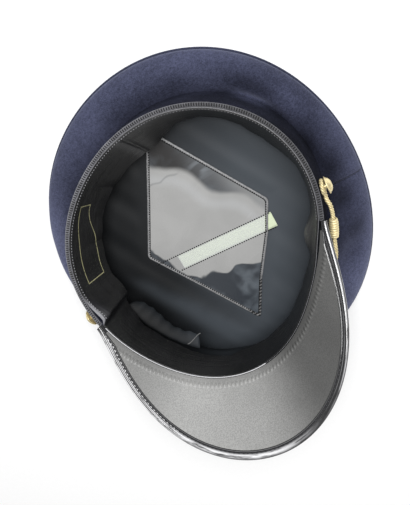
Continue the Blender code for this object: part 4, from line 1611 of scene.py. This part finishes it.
def peak_point(t, along, above):
    """Points up the peak's slope, and above the lower face of its board."""
    width = peak_width(t)
    share = along / width
    above = above - PEAK_CAMBER * (width / PEAK_LENGTH) ** 2 * 4 * share * (1 - share)
    out = -PEAK_INSET + along * math.cos(PEAK_SLOPE) - above * math.sin(PEAK_SLOPE)
    drop = BINDING_HEIGHT - along * math.sin(PEAK_SLOPE) - above * math.cos(PEAK_SLOPE)
    return band_point(FRONT + PEAK_SPREAD * t + 0 * along, out, drop)


def peak_strip(t, start, stop, low, high, rows):
    """Sections of the peak from one distance up its slope to another."""
    share = np.linspace(0, 1, rows)
    along = start + (stop - start)[:, None] * share
    lower = peak_point(t[:, None], along, low)
    upper = peak_point(t[:, None], along, high)
    return np.concatenate([lower, upper[:, ::-1]], axis=1), along


class CAP_OT_peak(bpy.types.Operator):
    """Build the peak: patent board, grey lining, rolled edge and its stitches"""

    bl_idname = "cap.peak"
    bl_label = "Peak"

    def execute(self, context):
        look = context.scene.cap_peak
        t = np.linspace(-1, 1, 320)
        width = peak_width(t)
        bead = np.minimum(PEAK_BEAD, 0.35 * width)
        flange = peak_flange(width)
        board, _ = peak_strip(t, 0, width - bead - CLEAR, 0, PEAK_BOARD, 24)
        mesh = shell_mesh("peak_board_patent", board, False)
        add_piece(mesh, patent_finish("Black Patent", look), "black_patent_board", "peak")

        low = PEAK_BOARD + CLEAR
        inner = np.abs(t) < 0.95
        stop = (width - flange - CLEAR)[inner]
        strip, along = peak_strip(
            t[inner], PEAK_LINING_START, stop, low, low + PEAK_LINING, 40
        )
        lie = np.zeros((strip.shape[0], strip.shape[1] + 1, 2))
        lie[..., 0] = peak_reach(t[inner])[:, None]
        lie[:, :-1, 1] = np.concatenate([along, along[:, ::-1]], axis=1)
        lie[:, -1, 1] = along[:, 0]
        mesh = shell_mesh("peak_lining_leatherette", strip, False, lie)
        add_piece(mesh, leatherette_finish("Grey Leatherette", look), "grey_leatherette", "peak_lining")

        under = -CLEAR - PEAK_FLANGE_WALL
        high = low + PEAK_FLANGE_WALL
        turn = np.radians(np.linspace(-90, 90, 15))
        roll_far = 1.2 * bead[:, None] * (1 - np.cos(turn))
        mid, half = (high + under) / 2, (high - under) / 2 * 1.08
        roll_above = mid + half * np.sin(turn) + 0 * roll_far
        ones = np.ones((len(t), 1))
        b, f = bead[:, None], flange[:, None]
        # From the hidden side of the lining round under the roll and over to the raised inner lip
        lead = ((f, low), (b, low), (b, -CLEAR), (0.8 * f, -CLEAR), (0.8 * f, under), (1.3 * b, under))
        rest = (
            (b * 1.45, high * 0.92),
            (b * 1.7, high * 0.90),
            (f * 0.62, high * 0.94),
            (f * 0.74, high * 0.98),
            (f * 0.80, high * 1.10),
            (f * 0.85, high * 0.96),
            (f * 0.90, high * 0.94),
            (f * 0.95, high * 1.08),
            (f * 1.0, high * 0.98),
        )
        parts = (
            ([p * ones for p, _ in lead], roll_far, [p * ones for p, _ in rest]),
            ([h * ones for _, h in lead], roll_above, [h * ones for _, h in rest]),
        )
        far, above = (np.concatenate([*first, roll, *last], axis=1) for first, roll, last in parts)
        sections = peak_point(t[:, None], width[:, None] - far, above)
        across = np.concatenate([np.full(6, -1.0), np.linspace(0, 0.45, 15), np.linspace(0.5, 1, 9)])
        lie = np.stack(np.broadcast_arrays(peak_reach(t)[:, None], np.append(across, -1.0)), -1)
        mesh = shell_mesh("peak_edge_patent", sections, False, lie, sharp=60)
        rolled = patent_finish("Rolled Patent", look, rolled=True)
        add_piece(mesh, rolled, "black_patent_edge", "peak_binding")

        arc = t[np.abs(t) < 0.955]
        along = peak_width(arc) - peak_flange(peak_width(arc)) * 0.70
        line = peak_point(arc, along, high * 0.99)
        raised = peak_point(arc, along, high + 0.01)
        rows = [(line, unit(raised - line))]
        thread = thread_finish("Peak Stitches", (0.022, 0.022, 0.026), 0.35)
        mesh = bead_row("peak_stitches", rows, look.stitch_pitch, PEAK_STITCH, thread, 0.12, 0.12, 7)
        add_piece(mesh, thread, "black_patent_edge")
        return {"FINISHED"}


def cord_point(angle, drop, stand):
    """A point of the cord's middle line that stands this far off the band's outer face."""
    return band_point(angle, band_face(drop) + stand, drop)


def cord_side(button):
    """The cord's own points from one button to the front: a loop round the shank, then the route."""
    toward = -1 if button > FRONT else 1
    rest = CORD_DIAMETER / 2 + CLEAR
    loop = BUTTON_SHANK / 2 + 2 * CLEAR + CORD_DIAMETER / 2
    points = []
    for degrees in range(-170, 91, 20):
        turn = math.radians(degrees)
        angle = button - toward * loop * math.cos(turn) / (RIM_WIDTH / 2)
        points.append(cord_point(angle, BAND_TOP + BUTTON_DROP + loop * math.sin(turn), rest))
    for share, drop, slack in CORD_ROUTE:
        angle = FRONT + (button - FRONT) * share
        points.append(cord_point(angle, BAND_TOP + BAND_DEPTH * drop, rest + CORD_SLACK * slack))
    return points


def add_slide(name, line, middle, turns, finish, slot, node):
    """A wound knot round the cord, one ridge for each turn of its thread."""
    start = int(np.argmin(np.linalg.norm(line - middle, axis=1)))
    spacing = np.linalg.norm(line[1] - line[0])
    half = round(SLIDE_LENGTH / 2 / spacing)
    stretch = resampled(line[start - half : start + half + 1], SLIDE_LENGTH / (turns * 8))
    across, rise = carried_frames(stretch)
    share = np.linspace(0, 1, len(stretch))
    rows = np.array(SLIDE_ROWS)
    radius = SLIDE_DIAMETER / 2 * np.interp(share, rows[:, 0], rows[:, 1])
    groove = SLIDE_GROOVE * (1 - np.abs(np.sin(math.pi * turns * share)) ** 0.8)
    way = ways_round(across[:, None], rise[:, None], full_turn(24))
    outer = stretch[:, None] + way * (radius - groove)[:, None, None]
    inner = stretch[:, None] + way * (CORD_DIAMETER / 2 + CLEAR)
    sections = np.concatenate([outer, inner[::-1]]).transpose(1, 0, 2)
    mesh = shell_mesh(name, sections, True, sharp=80)
    add_piece(mesh, finish, slot, node)


def add_button(name, angle, finish, slot, node):
    """A domed button with a turned-over rim, on a shank off the band's outer face."""
    drop = BAND_TOP + BUTTON_DROP
    foot = band_point(angle, band_face(drop), drop)
    out = unit(band_point(angle, band_face(drop) + 1, drop) - foot)
    across = unit(np.cross(out, UP))
    rise = np.cross(across, out)
    stand = 1.15 * CORD_DIAMETER + 3 * CLEAR
    radius = BUTTON_DIAMETER / 2
    rows = [(0, CLEAR), (BUTTON_SHANK / 2, CLEAR), (BUTTON_SHANK / 2, stand), (radius * 0.9, stand)]
    rows += [
        (radius * wide, stand + BUTTON_DOME * tall)
        for wide, tall in (
            (0.97, 0.03),
            (1.00, 0.12),
            (0.98, 0.22),
            (0.92, 0.27),
            (0.87, 0.26),
            (0.84, 0.34),
            (0.76, 0.54),
            (0.64, 0.72),
            (0.48, 0.87),
            (0.32, 0.95),
            (0.16, 0.99),
            (0.00, 1.00),
        )
    ]
    wide, tall = np.array(rows).T[..., None]
    way = ways_round(across, rise, full_turn(40))
    sections = foot + out * tall + way[:, None] * wide
    mesh = shell_mesh(name, sections, True, poles=True, sharp=60)
    add_piece(mesh, finish, slot, node)


class CAP_OT_chin_cord(bpy.types.Operator):
    """Build the gold chin cord along the band, its two slides and its two buttons"""

    bl_idname = "cap.chin_cord"
    bl_label = "Chin Cord"

    def execute(self, context):
        look = context.scene.cap_cord
        front = cord_point(FRONT, BAND_TOP + BAND_DEPTH * 0.58, CORD_DIAMETER / 2 + CLEAR)
        points = cord_side(BUTTON_RIGHT) + [front] + cord_side(BUTTON_LEFT)[::-1]
        line = resampled(smooth_line(points, 12), CORD_STEP)
        across, rise = carried_frames(line)
        reach = np.arange(len(line)) * np.linalg.norm(line[1] - line[0])
        strands = []
        strand = CORD_DIAMETER / 2 * STRAND_SHARE
        orbit = CORD_DIAMETER / 2 - strand
        for k in range(3):
            way = ways_round(across, rise, math.tau * (reach / look.lay + k / 3))
            strands.append(tube_mesh("strand", line + way * orbit, strand, 8))
        thread = gold_finish("Gold Thread", look)
        add_piece(joined("chin_cord_twisted", strands), thread, "gold_cord", "chin_cord")
        gilt = gold_finish("Gilt Metal", look, threads=False)
        for side, button in (("right", BUTTON_RIGHT), ("left", BUTTON_LEFT)):
            angle = FRONT + (button - FRONT) * SLIDE_SHARE
            stand = CORD_DIAMETER / 2 + CORD_SLACK * 0.52
            middle = cord_point(angle, BAND_TOP + BAND_DEPTH * 0.53, stand)
            name = "chin_slide_wound_" + side
            slot = "gold_slide_" + side
            add_slide(name, line, middle, look.slide_turns, thread, slot, "chin_slide_" + side)
            name = "chin_button_gilt_" + side
            add_button(name, button, gilt, "gold_button_" + side, "chin_button_" + side)
        return {"FINISHED"}


def add_lamp(name, way, distance, size, power):
    """A round soft lamp that faces the cap."""
    data = bpy.data.lights.new(name, "AREA")
    data.shape = "DISK"
    data.size = size
    data.energy = power
    lamp = bpy.data.objects.new(name, data)
    bpy.context.scene.collection.objects.link(lamp)
    place = Vector(way).normalized() * distance
    lamp.location = place
    lamp.rotation_euler = place.to_track_quat("Z", "Y").to_euler()
    return lamp


class CAP_OT_stage(bpy.types.Operator):
    """Set the pale floor, the soft lamp, the even light and the camera"""

    bl_idname = "cap.stage"
    bl_label = "Stage"

    def execute(self, context):
        look = context.scene.cap_stage
        scene = context.scene
        mesh = bpy.data.meshes.new("floor")
        corners = ((-1, -1), (1, -1), (1, 1), (-1, 1))
        spots = [(x * FLOOR_HALF, y * FLOOR_HALF, FLOOR_LEVEL) for x, y in corners]
        mesh.from_pydata(spots, [], [(0, 1, 2, 3)])
        floor = bpy.data.objects.new("floor", mesh)
        scene.collection.objects.link(floor)
        finish = Finish("Pale Floor", roughness=0.9, specular_ior_level=0.1)
        speck = finish.step(finish.noise(finish.place(), 300, 2.0, 0.5), 0.3, 0.7)
        mesh.materials.append(finish.wear(base_color=finish.tones(speck, look.floor, 0.99, 1.0)))

        overhead = add_lamp("overhead_lamp", (0.25, 0.34, 0.90), 1.25, 0.75, look.lamp)

        world = bpy.data.worlds.new("studio")
        world.use_nodes = True
        background = world.node_tree.nodes["Background"]
        background.inputs["Color"].default_value = (1, 1, 1, 1)
        background.inputs["Strength"].default_value = look.fill
        scene.world = world
        scene.view_settings.view_transform = "Standard"

        data = bpy.data.cameras.new("camera")
        data.lens = CAMERA_LENS
        data.sensor_width = 36.0
        data.clip_start = 0.01
        camera = bpy.data.objects.new("camera", data)
        scene.collection.objects.link(camera)
        axes = Matrix((CAMERA_RIGHT, CAMERA_UP, CAMERA_BACK)).transposed().to_4x4()
        camera.matrix_world = Matrix.Translation(CAMERA_PLACE) @ axes
        scene.camera = camera
        return {"FINISHED"}


# Panel


class CAP_PT_cap(bpy.types.Panel):
    """The cap's settings and the operators that build its pieces"""

    bl_idname = "CAP_PT_cap"
    bl_label = "Cap"
    bl_space_type = "VIEW_3D"
    bl_region_type = "UI"
    bl_category = "Cap"

    def draw(self, context):
        layout = self.layout
        for name in SETTINGS:
            group = getattr(context.scene, name)
            box = layout.box()
            for prop in group.bl_rna.properties:
                if prop.identifier not in ("name", "rna_type"):
                    box.prop(group, prop.identifier)
        for operator in OPERATORS:
            layout.operator(operator.bl_idname)


SETTINGS = {
    "cap_wool": CapWool,
    "cap_leather": CapLeather,
    "cap_lining": CapLining,
    "cap_peak": CapPeak,
    "cap_cord": CapCord,
    "cap_stage": CapStage,
}
OPERATORS = (
    CAP_OT_crown,
    CAP_OT_band,
    CAP_OT_sweatband,
    CAP_OT_lining,
    CAP_OT_shield,
    CAP_OT_peak,
    CAP_OT_chin_cord,
    CAP_OT_stage,
)


def register():
    for group in SETTINGS.values():
        bpy.utils.register_class(group)
    for name, group in SETTINGS.items():
        setattr(bpy.types.Scene, name, PointerProperty(type=group))
    for operator in OPERATORS:
        bpy.utils.register_class(operator)
    bpy.utils.register_class(CAP_PT_cap)


def unregister():
    bpy.utils.unregister_class(CAP_PT_cap)
    for operator in reversed(OPERATORS):
        bpy.utils.unregister_class(operator)
    for name, group in SETTINGS.items():
        delattr(bpy.types.Scene, name)
        bpy.utils.unregister_class(group)


def main():
    register()
    bpy.ops.cap.crown()
    bpy.ops.cap.band()
    bpy.ops.cap.sweatband()
    bpy.ops.cap.lining()
    bpy.ops.cap.shield()
    bpy.ops.cap.peak()
    bpy.ops.cap.chin_cord()
    bpy.ops.cap.stage()


if __name__ == "__main__":
    main()
